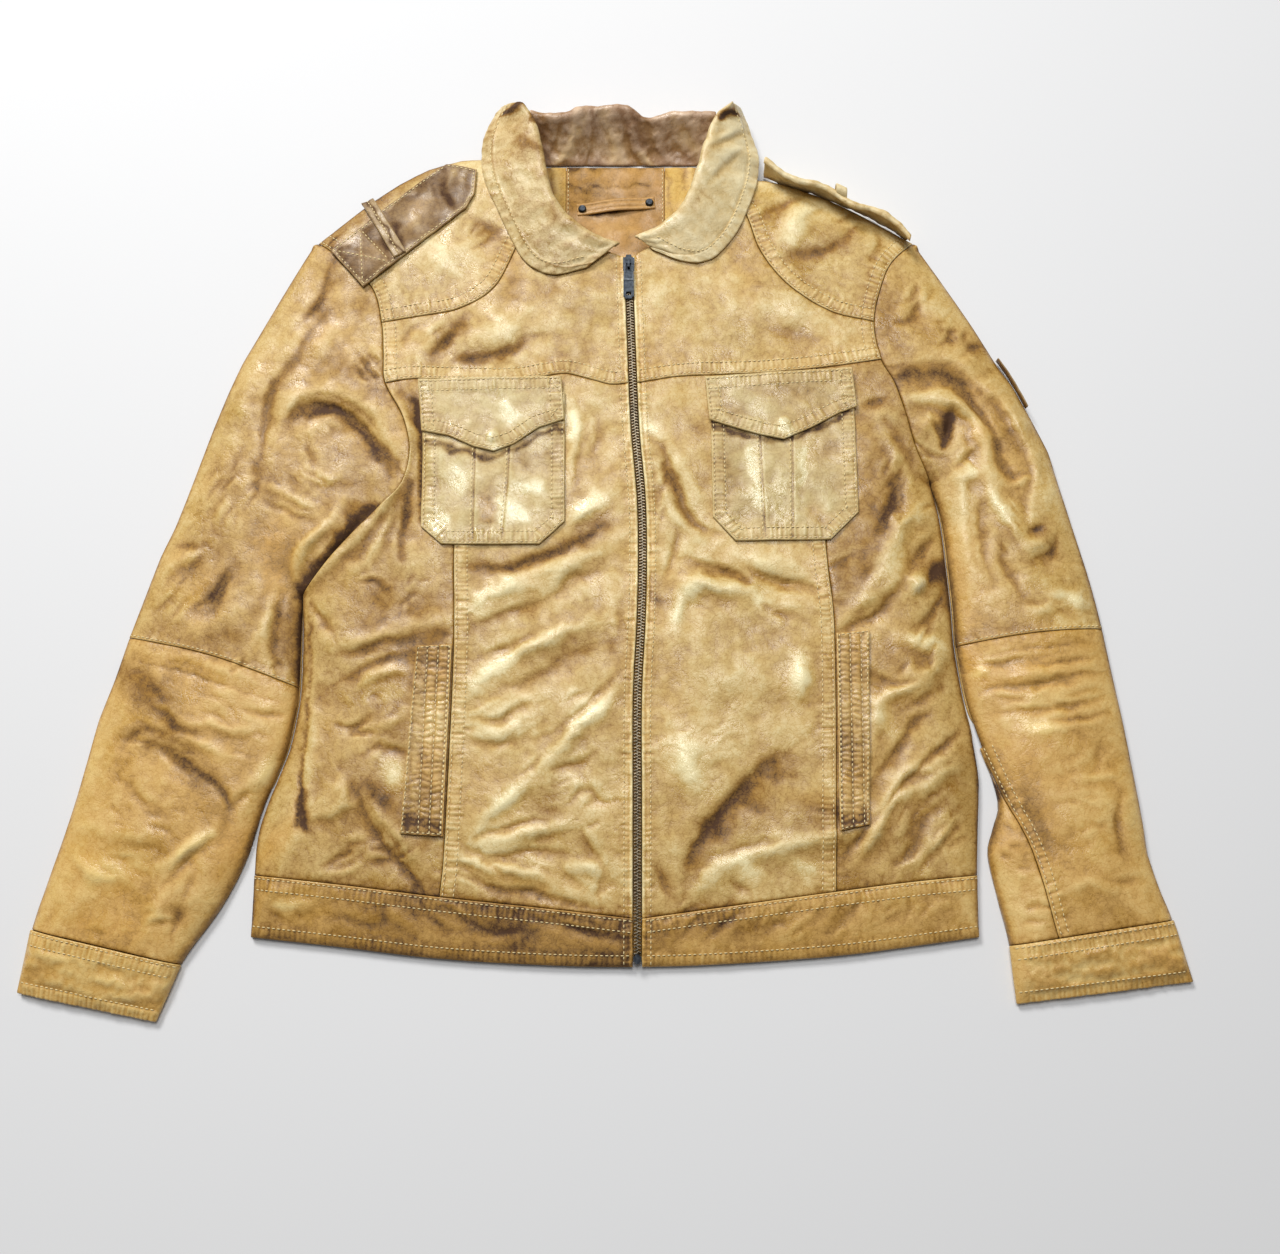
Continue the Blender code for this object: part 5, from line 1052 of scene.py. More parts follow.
def leather(name, brown=(0.285, 0.135, 0.012), tan=(0.57, 0.395, 0.135), pale=(0.87, 0.76, 0.44),
            orange=(0.58, 0.32, 0.07), rough=0.42):
    """Waxed leather: tone runs from dark creases to pale ridges, from wear and from painted crease
    shade and painted ridge highlights, with grain and gloss.
    """
    material, nodes, links, shader = blank(name)

    def add(kind, **settings):
        node = nodes.new(kind)
        for key, value in settings.items():
            if key in node.inputs:
                node.inputs[key].default_value = value
            else:
                setattr(node, key, value)
        return node

    def mark(attribute):
        return add("ShaderNodeAttribute", attribute_name=attribute).outputs["Fac"]

    def maths(operation, first, second, third=None):
        node = add("ShaderNodeMath", operation=operation)
        for socket, value in zip(node.inputs, (first, second, third)):
            if isinstance(value, (int, float)):
                socket.default_value = value
            elif value is not None:
                links.new(value, socket)
        return node.outputs[0]

    def shades(factor, stops):
        node = add("ShaderNodeValToRGB")
        ramp = node.color_ramp.elements
        ramp[0].position, ramp[0].color = stops[0][0], (*stops[0][1], 1)
        ramp[1].position, ramp[1].color = stops[-1][0], (*stops[-1][1], 1)
        for position, colour in stops[1:-1]:
            ramp.new(position).color = (*colour, 1)
        links.new(factor, node.inputs["Fac"])
        return node.outputs["Color"]

    place = add("ShaderNodeTexCoord").outputs["Object"]
    mottle = add("ShaderNodeTexNoise", Scale=190.0, Detail=7.0, Roughness=0.72)
    smear = add("ShaderNodeTexNoise", Scale=30.0, Detail=9.0, Roughness=0.66, Distortion=0.5)
    pores = add("ShaderNodeTexVoronoi", Scale=950.0, feature="SMOOTH_F1", Smoothness=0.6)
    crinkle = add("ShaderNodeTexVoronoi", Scale=215.0, feature="DISTANCE_TO_EDGE")
    fibres = add("ShaderNodeTexNoise", Scale=2600.0, Detail=3.0)
    wrinkle = add("ShaderNodeTexNoise", Scale=62.0, Detail=5.0, Roughness=0.55, Distortion=0.4)
    warp = add("ShaderNodeTexNoise", Scale=120.0, Detail=3.0)
    fleck = add("ShaderNodeTexNoise", Scale=520.0, Detail=4.0, Roughness=0.7)
    bend = add("ShaderNodeMix", data_type="VECTOR")
    bend.inputs[0].default_value = 0.012
    for node in (mottle, smear, pores, fibres, wrinkle, warp, fleck):
        links.new(place, node.inputs["Vector"])
    links.new(place, bend.inputs[4])
    links.new(warp.outputs["Color"], bend.inputs[5])
    links.new(bend.outputs[1], crinkle.inputs["Vector"])

    lines = maths("MINIMUM", maths("MULTIPLY", crinkle.outputs["Distance"], 9.0), 1.0)
    folded = maths("ABSOLUTE", maths("SUBTRACT", wrinkle.outputs["Fac"], 0.5), 0.0)
    folded = maths("MINIMUM", maths("MULTIPLY", folded, 9.0), 1.0)
    dark = maths("MAXIMUM", maths("SUBTRACT", fleck.outputs["Fac"], 0.56), 0.0)
    tone = maths("MULTIPLY_ADD", smear.outputs["Fac"], 0.32, mark("tone"))
    tone = maths("MULTIPLY_ADD", mottle.outputs["Fac"], 0.36, tone)
    tone = maths("MULTIPLY_ADD", dark, -1.1, tone)
    tone = maths("MULTIPLY_ADD", lines, 0.09, tone)
    tone = maths("MULTIPLY_ADD", folded, 0.04, tone)
    tone = maths("SUBTRACT", tone, 0.43)
    plain = shades(tone, ((0.0, DEEP), (0.26, brown), (0.55, tan), (0.92, pale)))
    warmer = shades(tone, ((0.0, DEEP), (0.5, orange), (0.95, GLOW)))
    mixed = add("ShaderNodeMix", data_type="RGBA")
    links.new(mark("warm"), mixed.inputs["Factor"])
    links.new(plain, mixed.inputs["A"])
    links.new(warmer, mixed.inputs["B"])
    links.new(mixed.outputs["Result"], shader.inputs["Base Color"])

    shine = maths("MULTIPLY_ADD", mark("gloss"), -0.34, rough - 0.03)
    shine = maths("MULTIPLY_ADD", mottle.outputs["Fac"], 0.30, shine)
    shine = maths("MULTIPLY_ADD", pores.outputs["Distance"], 0.08, shine)
    links.new(shine, shader.inputs["Roughness"])
    shader.inputs["IOR"].default_value = 1.5
    shader.inputs["Specular IOR Level"].default_value = 0.65

    height = maths("MULTIPLY", pores.outputs["Distance"], 0.05)
    height = maths("MULTIPLY_ADD", fibres.outputs["Fac"], 0.012, height)
    height = maths("MULTIPLY_ADD", lines, 0.05, height)
    height = maths("MULTIPLY_ADD", folded, CRUMPLE * 0.45, height)
    height = maths("MULTIPLY_ADD", mottle.outputs["Fac"], CRUMPLE, height)
    bump = add("ShaderNodeBump", Strength=1.0, Distance=MM)
    links.new(height, bump.inputs["Height"])
    links.new(bump.outputs["Normal"], shader.inputs["Normal"])
    return material


STITCH, STITCH_STEP = 2.9, 3.9     # a stitch's length, and from one stitch to the next
THREAD = 0.48


def offset_path(path, by, outline):
    """A path moved sideways by a distance, to whichever side lies inside an outline."""
    path = np.asarray(path, float)
    length = measured(path)[-1]
    path = walked(path, np.linspace(0, length, max(round(length / 1.5), 2)))
    run = np.gradient(path, axis=0)
    run /= np.maximum(np.linalg.norm(run, axis=1, keepdims=True), 1e-9)
    side = np.stack([-run[:, 1], run[:, 0]], 1)
    left, right = path + side * by, path - side * by
    return left if within(left, outline).mean() > within(right, outline).mean() else right


def topstitch(name, rows, outline, top_of, thread):
    """Rows of separate stitches that lie on the leather, as one piece."""
    angles = np.arange(4) * math.pi / 2 + math.pi / 4
    ring = np.stack([np.cos(angles), np.sin(angles)], 1)
    base = [(-0.5, 0, 0)]
    base += [(x, THREAD * y * size, THREAD * z * size - 0.25 * (1 - size))
             for x, size in ((-0.34, 0.85), (0.0, 1.15), (0.34, 0.85)) for y, z in ring]
    base = np.array(base + [(0.5, 0, 0)])
    base[[0, -1], 2] = -0.45
    corners = [(0, 1 + (k + 1) % 4, 1 + k) for k in range(4)]
    for row in (1, 5):
        for k in range(4):
            j = (k + 1) % 4
            corners += [(row + k, row + j, row + 4 + j), (row + k, row + 4 + j, row + 4 + k)]
    corners += [(13, 9 + k, 9 + (k + 1) % 4) for k in range(4)]
    corners = np.array(corners)
    verts, faces, count = [], [], 0
    for path in rows:
        middles = np.arange(2.0, measured(path)[-1] - 1.5, STITCH_STEP)
        if not len(middles):
            continue
        ends = [walked(path, middles + shift) for shift in (-STITCH / 2, STITCH / 2)]
        inside = within(ends[0], outline) & within(ends[1], outline)
        ends = [np.column_stack([end, top_of(end) + 0.22])[inside] for end in ends]
        run = ends[1] - ends[0]
        aside = np.cross((0, 0, 1), run)
        aside /= np.maximum(np.linalg.norm(aside, axis=1, keepdims=True), 1e-9)
        up = np.cross(run, aside)
        up /= np.maximum(np.linalg.norm(up, axis=1, keepdims=True), 1e-9)
        middle = (ends[0] + ends[1]) / 2
        for k in range(len(run)):
            verts.append(middle[k] + base[:, :1] * run[k] + base[:, 1:2] * aside[k]
                         + base[:, 2:] * up[k])
            faces.append(corners + count)
            count += len(base)
    verts, faces = np.vstack(verts) * MM, np.vstack(faces)
    mesh = bpy.data.meshes.new(name)
    mesh.from_pydata(verts.tolist(), [], faces.tolist())
    mesh.shade_smooth()
    mesh.materials.append(thread)
    item = bpy.data.objects.new(name, mesh)
    scene.collection.objects.link(item)
    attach(item, "jacket")
    return item


def thread_finish(name, colour):
    """Matt twisted polyester thread."""
    material, nodes, links, shader = blank(name)
    place = nodes.new("ShaderNodeTexCoord")
    twist = nodes.new("ShaderNodeTexNoise")
    twist.inputs["Scale"].default_value = 700
    ramp = nodes.new("ShaderNodeValToRGB")
    ramp.color_ramp.elements[0].color = (*[c * 0.72 for c in colour], 1)
    ramp.color_ramp.elements[1].color = (*colour, 1)
    links.new(place.outputs["Object"], twist.inputs["Vector"])
    links.new(twist.outputs["Fac"], ramp.inputs["Fac"])
    links.new(ramp.outputs["Color"], shader.inputs["Base Color"])
    shader.inputs["Roughness"].default_value = 0.75
    return material


def tied(item, node, finish):
    """Gives a piece its leather and ties it to the node that it stands for."""
    item.data.materials.append(finish)
    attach(item, "jacket")
    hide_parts(node)


PALE_THREAD = thread_finish("pale thread", (0.88, 0.72, 0.38))


# how far the fine triangles reach from a sewn, a tucked and a pleated line
SEWN_REACH, TUCKED_REACH, PLEAT_REACH = 2.8, 5.0, 3.5
# how far in a folded edge rolls over above and below, and how far down
ROLL_TOP, ROLL_UNDER, ROLL_DROP = 5.0, 4.0, 1.5
ROW_DEPTH, ROW_WIDTH = 0.34, 0.75     # groove along a row of stitching
RIM_DROP, RIM_ROUND = 0.8, 1.1        # rounding of a panel's cut edge
PLEAT_ROW = 2.0                       # from a pleat to its stitching


def panel(name, outline, zone, slot, finish, tone, warm, gloss=0.3, layer=0, wall=WALL,
          sewn=(), tucked=(), folded=(), pleats=(), held="laid", rests_on=("floor",), fine=FINE,
          coarse=OPEN, lift=0.0, floor_level=None, seed=0, shape=None):
    """One leather panel, shaped by what lies below it, its seams and its folded edges.

    sewn: (path, stitch rows' distances, pucker) where this panel lies on top at a seam;
    tucked: paths where it goes under its neighbour; folded: paths where it turns down;
    pleats: paths pressed in and stitched on the panel; shape: a height of its own."""
    def top_of(points):
        points = np.asarray(points, float)[:, :2]
        if floor_level is None:
            top = rest_height(points, zone) + layer * LAYER + wall + lift
        else:
            top = np.full(len(points), floor_level + wall)
        if layer or floor_level is not None:
            top = top + folds_at(points, name)
        if shape is not None:
            top = top + shape(points)
        for path in folded:
            roll = np.clip(1 - nearest(points, path)[0] / ROLL_TOP, 0, 1)
            top = top - ROLL_DROP * (1 - np.sqrt(np.maximum(1 - roll ** 2, 0)))
        for path, rows, pucker in sewn:
            apart, _, along, _ = nearest(points, path)
            last = max(rows)
            band = 1 - step_up(apart, last + 0.3, last + 2.2)
            slow = noise(np.stack([along, apart * 0 + 7], 1), 27, 32 + seed)
            shift = 1.6 * noise(np.stack([along, apart * 0.6 + 50], 1), 11, 33 + seed)
            ladder = np.sin(2 * math.pi * along / STITCH_STEP + shift)
            rough = noise(np.stack([along, apart * 0.4 + 90], 1), 4.2, 31 + seed)
            outside = np.exp(-np.maximum(apart - last, 0) / (4.5 + 5 * (slow > 0)))
            top = top + (0.42 + 0.12 * slow) * band
            top = top + pucker * (0.8 + 0.7 * slow) * np.minimum(apart / 2.0, 1) * (
                0.25 * ladder * band + rough * (0.42 + 0.2 * band) * outside)
            for row in rows:
                top = top - ROW_DEPTH * np.exp(-((apart - row) / ROW_WIDTH) ** 2)
        for path in tucked:
            apart, _, along, _ = nearest(points, path)
            wave = noise(np.stack([along, apart * 0.3 + 40], 1), 4.4, 41 + seed)
            top = top - 0.3 * np.exp(-(apart / 1.8) ** 2)
            top = top + 0.42 * wave * np.exp(-apart / 6.0) * np.minimum(apart / 1.5, 1)
        for path in pleats:
            apart, side, along, _ = nearest(points, path)
            fold_over = np.where(side > 0, step_up(apart, 0, 0.7), 0) * np.exp(-apart / 8.0)
            top = top - 0.35 * np.exp(-(apart / 0.6) ** 2) + 0.7 * fold_over
        return top

    seams = [(path, max(rows) + SEWN_REACH) for path, rows, _ in sewn]
    seams += [(path, TUCKED_REACH) for path in tucked] + [(path, PLEAT_REACH) for path in pleats]
    points, faces = cut_mesh(outline, seams, fine, coarse)
    top = top_of(points)
    closed = np.vstack([outline, outline[:1]])
    to_rim = nearest(points, closed)[0] - GAP / 2
    open_share = 1 - np.clip(to_rim / RIM_ROUND, 0, 1)
    round_off = RIM_DROP * (1 - np.sqrt(np.clip(1 - open_share ** 2, 0, 1)))
    marks = colour_marks(points, faces, top, tone, warm, gloss,
                         zone if layer == 0 and floor_level is None else name)
    for path, rows, _ in sewn:
        apart = nearest(points, path)[0]
        # painted shade in the groove along each row of stitching
        for row in rows:
            marks["tone"] = np.clip(marks["tone"] - 0.07 * np.exp(-((apart - row) / 1.2) ** 2), 0, 1)
        marks["warm"] = np.clip(marks["warm"] + 0.10 * (apart < max(rows)), 0, 1)
        marks["tone"] = np.clip(marks["tone"] + 0.16 * np.exp(-(apart / 1.0) ** 2), 0, 1)
    # painted shade where the panel goes under its neighbour
    for path in tucked:
        apart = nearest(points, path)[0]
        marks["tone"] = np.clip(marks["tone"] - 0.10 * np.exp(-(apart / 1.4) ** 2)
                                - 0.05 * np.exp(-apart / 7.0), 0, 1)
    # painted shade in each pressed pleat
    for path in pleats:
        marks["tone"] = np.clip(
            marks["tone"] - 0.22 * np.exp(-(nearest(points, path)[0] / 0.8) ** 2), 0, 1)
    under = top - wall
    for path in folded:
        roll = np.clip(1 - nearest(points, path)[0] / ROLL_UNDER, 0, 1)
        under = under - (under - 0.1) * step_up(roll, 0.3, 1.0)
    under = np.maximum(under, 0.02)
    upper = np.column_stack([points, np.maximum(top - round_off, under + 0.2)])
    item = shell(name, upper, np.column_stack([points, under]), faces, marks)
    tied(item, name, finish)
    rows = [offset_path(path, row, outline) for path, distances, _ in sewn for row in distances]
    rows += [offset_path(path, PLEAT_ROW, outline) for path in pleats]
    stitched = [topstitch("stitches_" + name, rows, outline, top_of, PALE_THREAD)] if rows else []


def stretch(curve, start, end):
    """The part of a curve from near one point to near another."""
    curve = np.asarray(curve, float)
    at = measured(curve)
    first, last = nearest([start, end], curve)[2]
    low, high = min(first, last), max(first, last)
    marks = np.concatenate([[low], at[(at > low + 0.01) & (at < high - 0.01)], [high]])
    points = walked(curve, marks)
    return points if first <= last else points[::-1]


LOWER_LEATHER = leather("lower leather", rough=0.46)
# how far the lower layer stops short of its outline, and the most it is let out beyond it
BACK_INSET, LET_OUT = 4.0, 1.3
hem_seam_low = ((-270, -273), (24, -306), (285, -273))
armhole = {side: smooth(ARMHOLE[side]) for side in "LR"}
sleeve_outer = {side: smooth(SLEEVE_OUTER[side]) for side in "LR"}
sleeve_inner = {side: smooth(SLEEVE_INNER[side]) for side in "LR"}
side_fold = {"L": smooth(SIDE_L), "R": smooth(SIDE_R)}
shoulder_fold = {"L": smooth(SHOULDER_L), "R": smooth(SHOULDER_R)}
hem_edge = smooth(HEM_EDGE)


def spread(path, other, low, high):
    """An edge of the lower layer, let out above a height to nearly half way to the next one."""
    order = np.argsort(other[:, 1])
    apart = np.interp(path[:, 1], other[order, 1], other[order, 0]) - path[:, 0]
    by = np.sign(apart) * (BACK_INSET + np.minimum(0.5 * abs(apart), LET_OUT) - 0.15)
    return path + np.outer(step_up(path[:, 1], low, high) * by, (1, 0))


back_outline = joined(
    hem_seam_low,
    spread(stretch(side_fold["R"], SIDE_R[1], SIDE_R[-1]), sleeve_inner["R"], -190, -165),
    armhole["R"][::-1], shoulder_fold["R"], ((86, 326), (-66, 326)), shoulder_fold["L"][::-1],
    armhole["L"],
    spread(stretch(side_fold["L"], SIDE_L[-1], SIDE_L[1]), sleeve_inner["L"], -240, -215))
for name, outline, slot in (
        ("back", back_outline, "tan_leather"),
        ("hem_band_back", joined(hem_edge, hem_seam_low[::-1]), "amber_leather"),
        ("sleeve_under_L", joined(
            sleeve_outer["L"], spread(sleeve_inner["L"], side_fold["L"], -225, -205)[::-1],
            armhole["L"][::-1]), "amber_leather"),
        ("sleeve_under_R", joined(
            sleeve_outer["R"], spread(sleeve_inner["R"], side_fold["R"], -170, -150)[::-1],
            armhole["R"][::-1]), "amber_leather")):
    panel(name, inset(outline, BACK_INSET), "body", slot, LOWER_LEATHER, 0.5, warm=0.35,
          floor_level=0.0, fine=3.0, coarse=8.0)

# ---------------------------------------------------------------------------------------
# Fronts: centre and side panels, chest and shoulder yokes and the hem band of each half. Thin
# waxed sheep leather over a lining, cut apart and sewn with two rows of pale topstitching
# over every seam, which gathers the leather into a ladder of small puckers.
# ---------------------------------------------------------------------------------------
ZIP_LINE = ((24, -342), (24, -217), (24, -139), (27, -74), (28, -25), (27, 25), (22, 84),
            (19, 154), (16, 238))
ZIP_HALF = 3.4
ZIP_TOP_Y = 234
YOKE = {
    "L": ((-182, 122), (-159, 126), (-120, 125), (-81, 124), (-50, 129), (-34, 131), (-16, 126),
          (2, 121), (17, 122)),
    "R": ((224, 143), (199, 139), (170, 135), (125, 131), (75, 129), (50, 127), (23.8, 122)),
}
YOKE_CURVE = {
    "L": ((-187, 175), (-157, 181), (-124, 188), (-95, 207), (-77, 244), (-60, 287)),
    "R": ((219, 176), (184, 185), (151, 207), (127, 239), (113, 277), (86, 308)),
}
PRINCESS = {
    "L": ((-126, -290), (-123, -247), (-120, -97), (-122, -15), (-120, 125)),
    "R": ((175, -286), (176, -239), (179, -87), (174, -13), (170, 135)),
}
HEM_SEAM = {
    "L": ((-270, -273.5), (-200, -281), (-126, -290), (-40, -299), (20.6, -306)),
    "R": ((285, -273.5), (230, -279), (175, -286), (100, -296), (27.4, -306)),
}
NECKLINE = {
    "L": ((12.8, 234), (-26, 250), (-52, 274), (-60, 287)),
    "R": ((19.6, 234), (46, 252), (72, 280), (86, 308)),
}
NECK_SIDE = {"L": ((-60, 287), (-67, 310), (-72, 331)), "R": ((86, 308), (98, 314))}
ROWS = (2.2, 10.5)     # the two rows of topstitching, from the seam
HEM_ROW = 8.5          # the row along the hem and along a cuff's end, from the edge
ZIP_ROW = 6.8
ZIP_STRIP = 2.7        # the turned edge beside the teeth
SEAM_PUCKER = 1.0

TAN_LEATHER = leather("tan leather")
AMBER_LEATHER = leather("amber leather", tan=(0.56, 0.345, 0.10), pale=(0.82, 0.62, 0.26))
zip_line = smooth(ZIP_LINE)
for side in "LR":
    toward_side = -1 if side == "L" else 1
    zip_edge = zip_line + (toward_side * ZIP_HALF, 0)
    hem_y = HEM_SEAM[side][-1][1]
    at_hem = (zip_edge[0][0], hem_y)
    yoke, curve = smooth(YOKE[side]), smooth(YOKE_CURVE[side])
    princess, hem_seam = smooth(PRINCESS[side]), smooth(HEM_SEAM[side])
    neck = smooth(NECKLINE[side])
    princess_top, princess_foot = PRINCESS[side][-1], PRINCESS[side][0]
    yoke_at_arm, curve_at_arm = YOKE[side][0], YOKE_CURVE[side][0]
    low_zip = stretch(zip_edge, at_hem, YOKE[side][-1])
    high_zip = stretch(zip_edge, YOKE[side][-1], (zip_edge[-1][0], ZIP_TOP_Y))
    arm_low = stretch(armhole[side], yoke_at_arm, ARMHOLE[side][-1])
    arm_middle = stretch(armhole[side], curve_at_arm, yoke_at_arm)
    arm_high = stretch(armhole[side], ARMHOLE[side][0], curve_at_arm)
    side_edge = stretch(side_fold[side], ARMHOLE[side][-1], HEM_SEAM[side][0])
    band_edge = stretch(side_fold[side], HEM_SEAM[side][0], side_fold[side][0])
    hem_low = stretch(hem_edge, side_fold[side][0], (zip_edge[0][0], -342))
    zip_foot = [at_hem, (zip_edge[0][0], -341.8)]

    def zip_fold(points, edge=zip_edge):
        """The turned strip beside the teeth, with a groove behind it."""
        apart = nearest(points, edge)[0]
        return (0.45 * (1 - step_up(apart, ZIP_STRIP - 0.5, ZIP_STRIP + 0.3))
                - 0.7 * np.exp(-((apart - ZIP_STRIP - 0.6) / 0.6) ** 2))

    tan = dict(zone="body", slot="tan_leather", finish=TAN_LEATHER)
    rests = ["back"]
    panel("front_centre_" + side,
          joined(low_zip, stretch(yoke, YOKE[side][-1], princess_top), princess[::-1],
                 stretch(hem_seam, princess_foot, at_hem)),
          **tan, tone=0.53, warm=0.14, rests_on=rests,
          sewn=[(low_zip, (ZIP_ROW,), SEAM_PUCKER), (princess, ROWS, SEAM_PUCKER)],
          tucked=[yoke, hem_seam], seed=1, shape=zip_fold)
    panel("front_side_" + side,
          joined(princess, stretch(yoke, princess_top, yoke_at_arm), arm_low, side_edge,
                 stretch(hem_seam, HEM_SEAM[side][0], princess_foot)),
          **tan, tone=0.38, warm=0.30, rests_on=rests, tucked=[yoke, hem_seam, princess],
          folded=[side_edge], seed=2)
    panel("chest_" + side,
          joined(high_zip, neck, curve[::-1], arm_middle, yoke),
          **tan, tone=0.54, warm=0.12, rests_on=rests,
          sewn=[(yoke, ROWS, SEAM_PUCKER), (high_zip, (ZIP_ROW,), SEAM_PUCKER),
                (arm_middle, ROWS, 0.6)],
          tucked=[curve], seed=3, shape=zip_fold)
    panel("shoulder_" + side,
          joined(curve, smooth(NECK_SIDE[side]), shoulder_fold[side][::-1], arm_high),
          **tan, tone=0.51, warm=0.05, rests_on=rests,
          sewn=[(curve, ROWS, SEAM_PUCKER), (arm_high, ROWS, SEAM_PUCKER)],
          folded=[shoulder_fold[side]], seed=4)
    panel("hem_band_front_" + side,
          joined(hem_seam[::-1], band_edge, hem_low, zip_foot[::-1]),
          zone="body", slot="amber_leather", finish=AMBER_LEATHER,
          tone=0.30 if side == "L" else 0.44, warm=0.35,
          rests_on=["hem_band_back"],
          sewn=[(hem_seam, ROWS, SEAM_PUCKER), (hem_low, (HEM_ROW,), SEAM_PUCKER),
                (zip_foot, (ZIP_ROW,), SEAM_PUCKER)], folded=[band_edge], seed=5, shape=zip_fold)

# ---------------------------------------------------------------------------------------
# Sleeves: a top sheet above and below the elbow seam on each arm, and on the right the part
# of the underside that comes round to the top. Same waxed leather, darker below the elbow.
# ---------------------------------------------------------------------------------------
ELBOW = {"L": ((-380, -88), (-311, -104), (-243, -128)), "R": ((394, -81), (335, -86), (277, -95))}
CUFF_SEAM = {"L": ((-437, -314), (-380, -326.9), (-322, -340)),
             "R": ((432, -307), (370, -316.4), (307, -326))}
SLEEVE_SEAM_R = ((292, -176), (306, -212), (325, -255), (341, -318), (342, -320))
for side in "LR":
    zone = "sleeve " + side
    elbow, wrist = smooth(ELBOW[side]), smooth(CUFF_SEAM[side])
    outer, inner = sleeve_outer[side], sleeve_inner[side]
    outer_high = stretch(outer, SLEEVE_OUTER[side][0], ELBOW[side][0])
    outer_low = stretch(outer, ELBOW[side][0], CUFF_SEAM[side][0])
    inner_high = stretch(inner, SLEEVE_INNER[side][0], ELBOW[side][-1])
    inner_low = stretch(inner, ELBOW[side][-1], CUFF_SEAM[side][-1])
    panel("sleeve_upper_" + side,
          joined(outer_high, elbow, inner_high[::-1], armhole[side][::-1]),
          zone=zone, slot="tan_leather", finish=TAN_LEATHER, tone=0.42, warm=0.35,
          rests_on=["sleeve_under_" + side], tucked=[armhole[side]],
          sewn=[(elbow, (2.2,), 0.5)], folded=[outer_high, inner_high], seed=6)
    low = dict(zone=zone, slot="amber_leather", finish=AMBER_LEATHER, tone=0.52, warm=0.45,
               rests_on=["sleeve_under_" + side])
    if side == "L":
        panel("sleeve_lower_L", joined(outer_low, wrist, inner_low[::-1], elbow[::-1]), **low,
              tucked=[elbow, wrist], folded=[outer_low, inner_low], seed=7)
    else:
        seam = smooth(SLEEVE_SEAM_R)
        panel("sleeve_lower_R",
              joined(outer_low, stretch(wrist, wrist[0], seam[-1]), seam[::-1],
                     stretch(inner_low, seam[0], inner_low[0]), elbow[::-1]), **low,
              tucked=[elbow, wrist], sewn=[(seam, (2.2, 8.0), SEAM_PUCKER)],
              folded=[outer_low], seed=7)
        panel("sleeve_lower_inner_R",
              joined(seam, stretch(wrist, seam[-1], wrist[-1]),
                     stretch(inner_low, inner_low[-1], seam[0])), **low,
              tucked=[seam, wrist], folded=[inner_low], seed=8)

# ---------------------------------------------------------------------------------------
# Patch pockets, their pointed flaps over them, and the quilted welts of the lower pockets.
# Each is a doubled piece of the paler leather, sewn down round its edge.
# ---------------------------------------------------------------------------------------
POCKET = {
    "L": ((-151, 114), (-149, 0), (-132, -15), (-54, -15), (-34, 4), (-35, 114)),
    "R": ((83, 118), (84, 8), (102, -12), (178, -11), (201, 12), (200, 120)),
}
FLAP = {
    "L": ((-155, 124), (-151, 80), (-128, 75), (-108, 66), (-92, 62), (-76, 68), (-56, 82),
          (-35, 89), (-38, 127)),
    "R": ((79, 126), (82, 89), (100, 83), (122, 76), (142, 72), (166, 83), (188, 95),
          (202, 100), (199, 134)),
}
WELT = {
    "L": ((-149, -97), (-121, -96), (-124, -245), (-157, -243)),
    "R": ((180, -87), (206, -84), (201, -236), (178, -241)),
}
PLEATS = {"L": (((-107, 113), (-107, -11)), ((-78, 113), (-80, 40), (-84, -11))),
          "R": (((122, 117), (124, 50), (126, -9)), ((150, 117), (149, 50), (148, -9)))}
SNAPS = {"L": (-93, 75), "R": (143, 86)}
WELT_COLUMNS, WELT_PITCH = (*ROWS, 19.0), 8.4     # columns of quilting, from the inner edge
PALE_LEATHER = leather("pale leather", brown=(0.38, 0.25, 0.085), tan=(0.58, 0.455, 0.20),
                       pale=(0.84, 0.76, 0.48), rough=0.33)
for side in "LR":
    pale = dict(zone="body", slot="pale_leather", finish=PALE_LEATHER)

    def snap_dome(points, place=SNAPS[side]):
        """The snap's dome under the flap, in softly dented leather."""
        apart = np.hypot(points[:, 0] - place[0], points[:, 1] - place[1])
        return (1.3 * np.exp(-(apart / 5.0) ** 4) + 0.7 * np.exp(-(apart / 12.0) ** 2)
                + 0.6 * noise(points, 21, 99) + 0.13 * noise(points, 7, 94))

    def tuft(points):
        """Soft dents in a pocket that hangs empty."""
        return 0.6 * noise(points, 19, 95) + 0.13 * noise(points, 6, 96)

    def quilt(points, edge=WELT[side][1:3] if side == "L" else (WELT[side][0], WELT[side][3])):
        """Small pillows between the rows of stitching, squeezed unevenly."""
        apart, _, along, _ = nearest(points, edge)
        shift = 2.4 * noise(np.stack([along, apart], 1), 8, 97)
        cells = np.abs(np.sin(math.pi * (along + shift) / (1.25 * STITCH_STEP))) ** 0.6
        columns = np.abs(np.sin(math.pi * (apart - WELT_COLUMNS[0]) / WELT_PITCH)) ** 0.5
        return 1.0 * cells * columns + 0.45 * noise(points, 9, 98)

    for name, table, layers, tone, below in (("pocket_", POCKET, 1, 0.49, "front_centre_"),
                                             ("flap_", FLAP, 2, 0.47, "pocket_"),
                                             ("welt_", WELT, 1, 0.40, "front_side_")):
        outline = joined(evenly(np.array(table[side], float), 4.0))
        closed = np.vstack([outline, outline[:1]])
        sewn = [(closed, ROWS, SEAM_PUCKER)]
        if name == "welt_":
            top_left, top_right, low_right, low_left = [np.array(p, float) for p in WELT[side]]
            inner = (top_right, low_right) if side == "L" else (top_left, low_left)
            sewn = [(np.array(inner), WELT_COLUMNS, 0.5), (closed, (1.6,), 0.6)]
        panel(name + side, outline, **pale, tone=tone, layer=layers, lift=0.6 * layers,
              gloss=0.2, warm=0.55 if name == "welt_" else 0.1, rests_on=[below + side], sewn=sewn,
              pleats=[np.array(p, float) for p in PLEATS[side]] if name == "pocket_" else (),
              fine=1.2, coarse=1.8, seed=9,
              shape={"flap_": snap_dome, "pocket_": tuft, "welt_": quilt}[name])

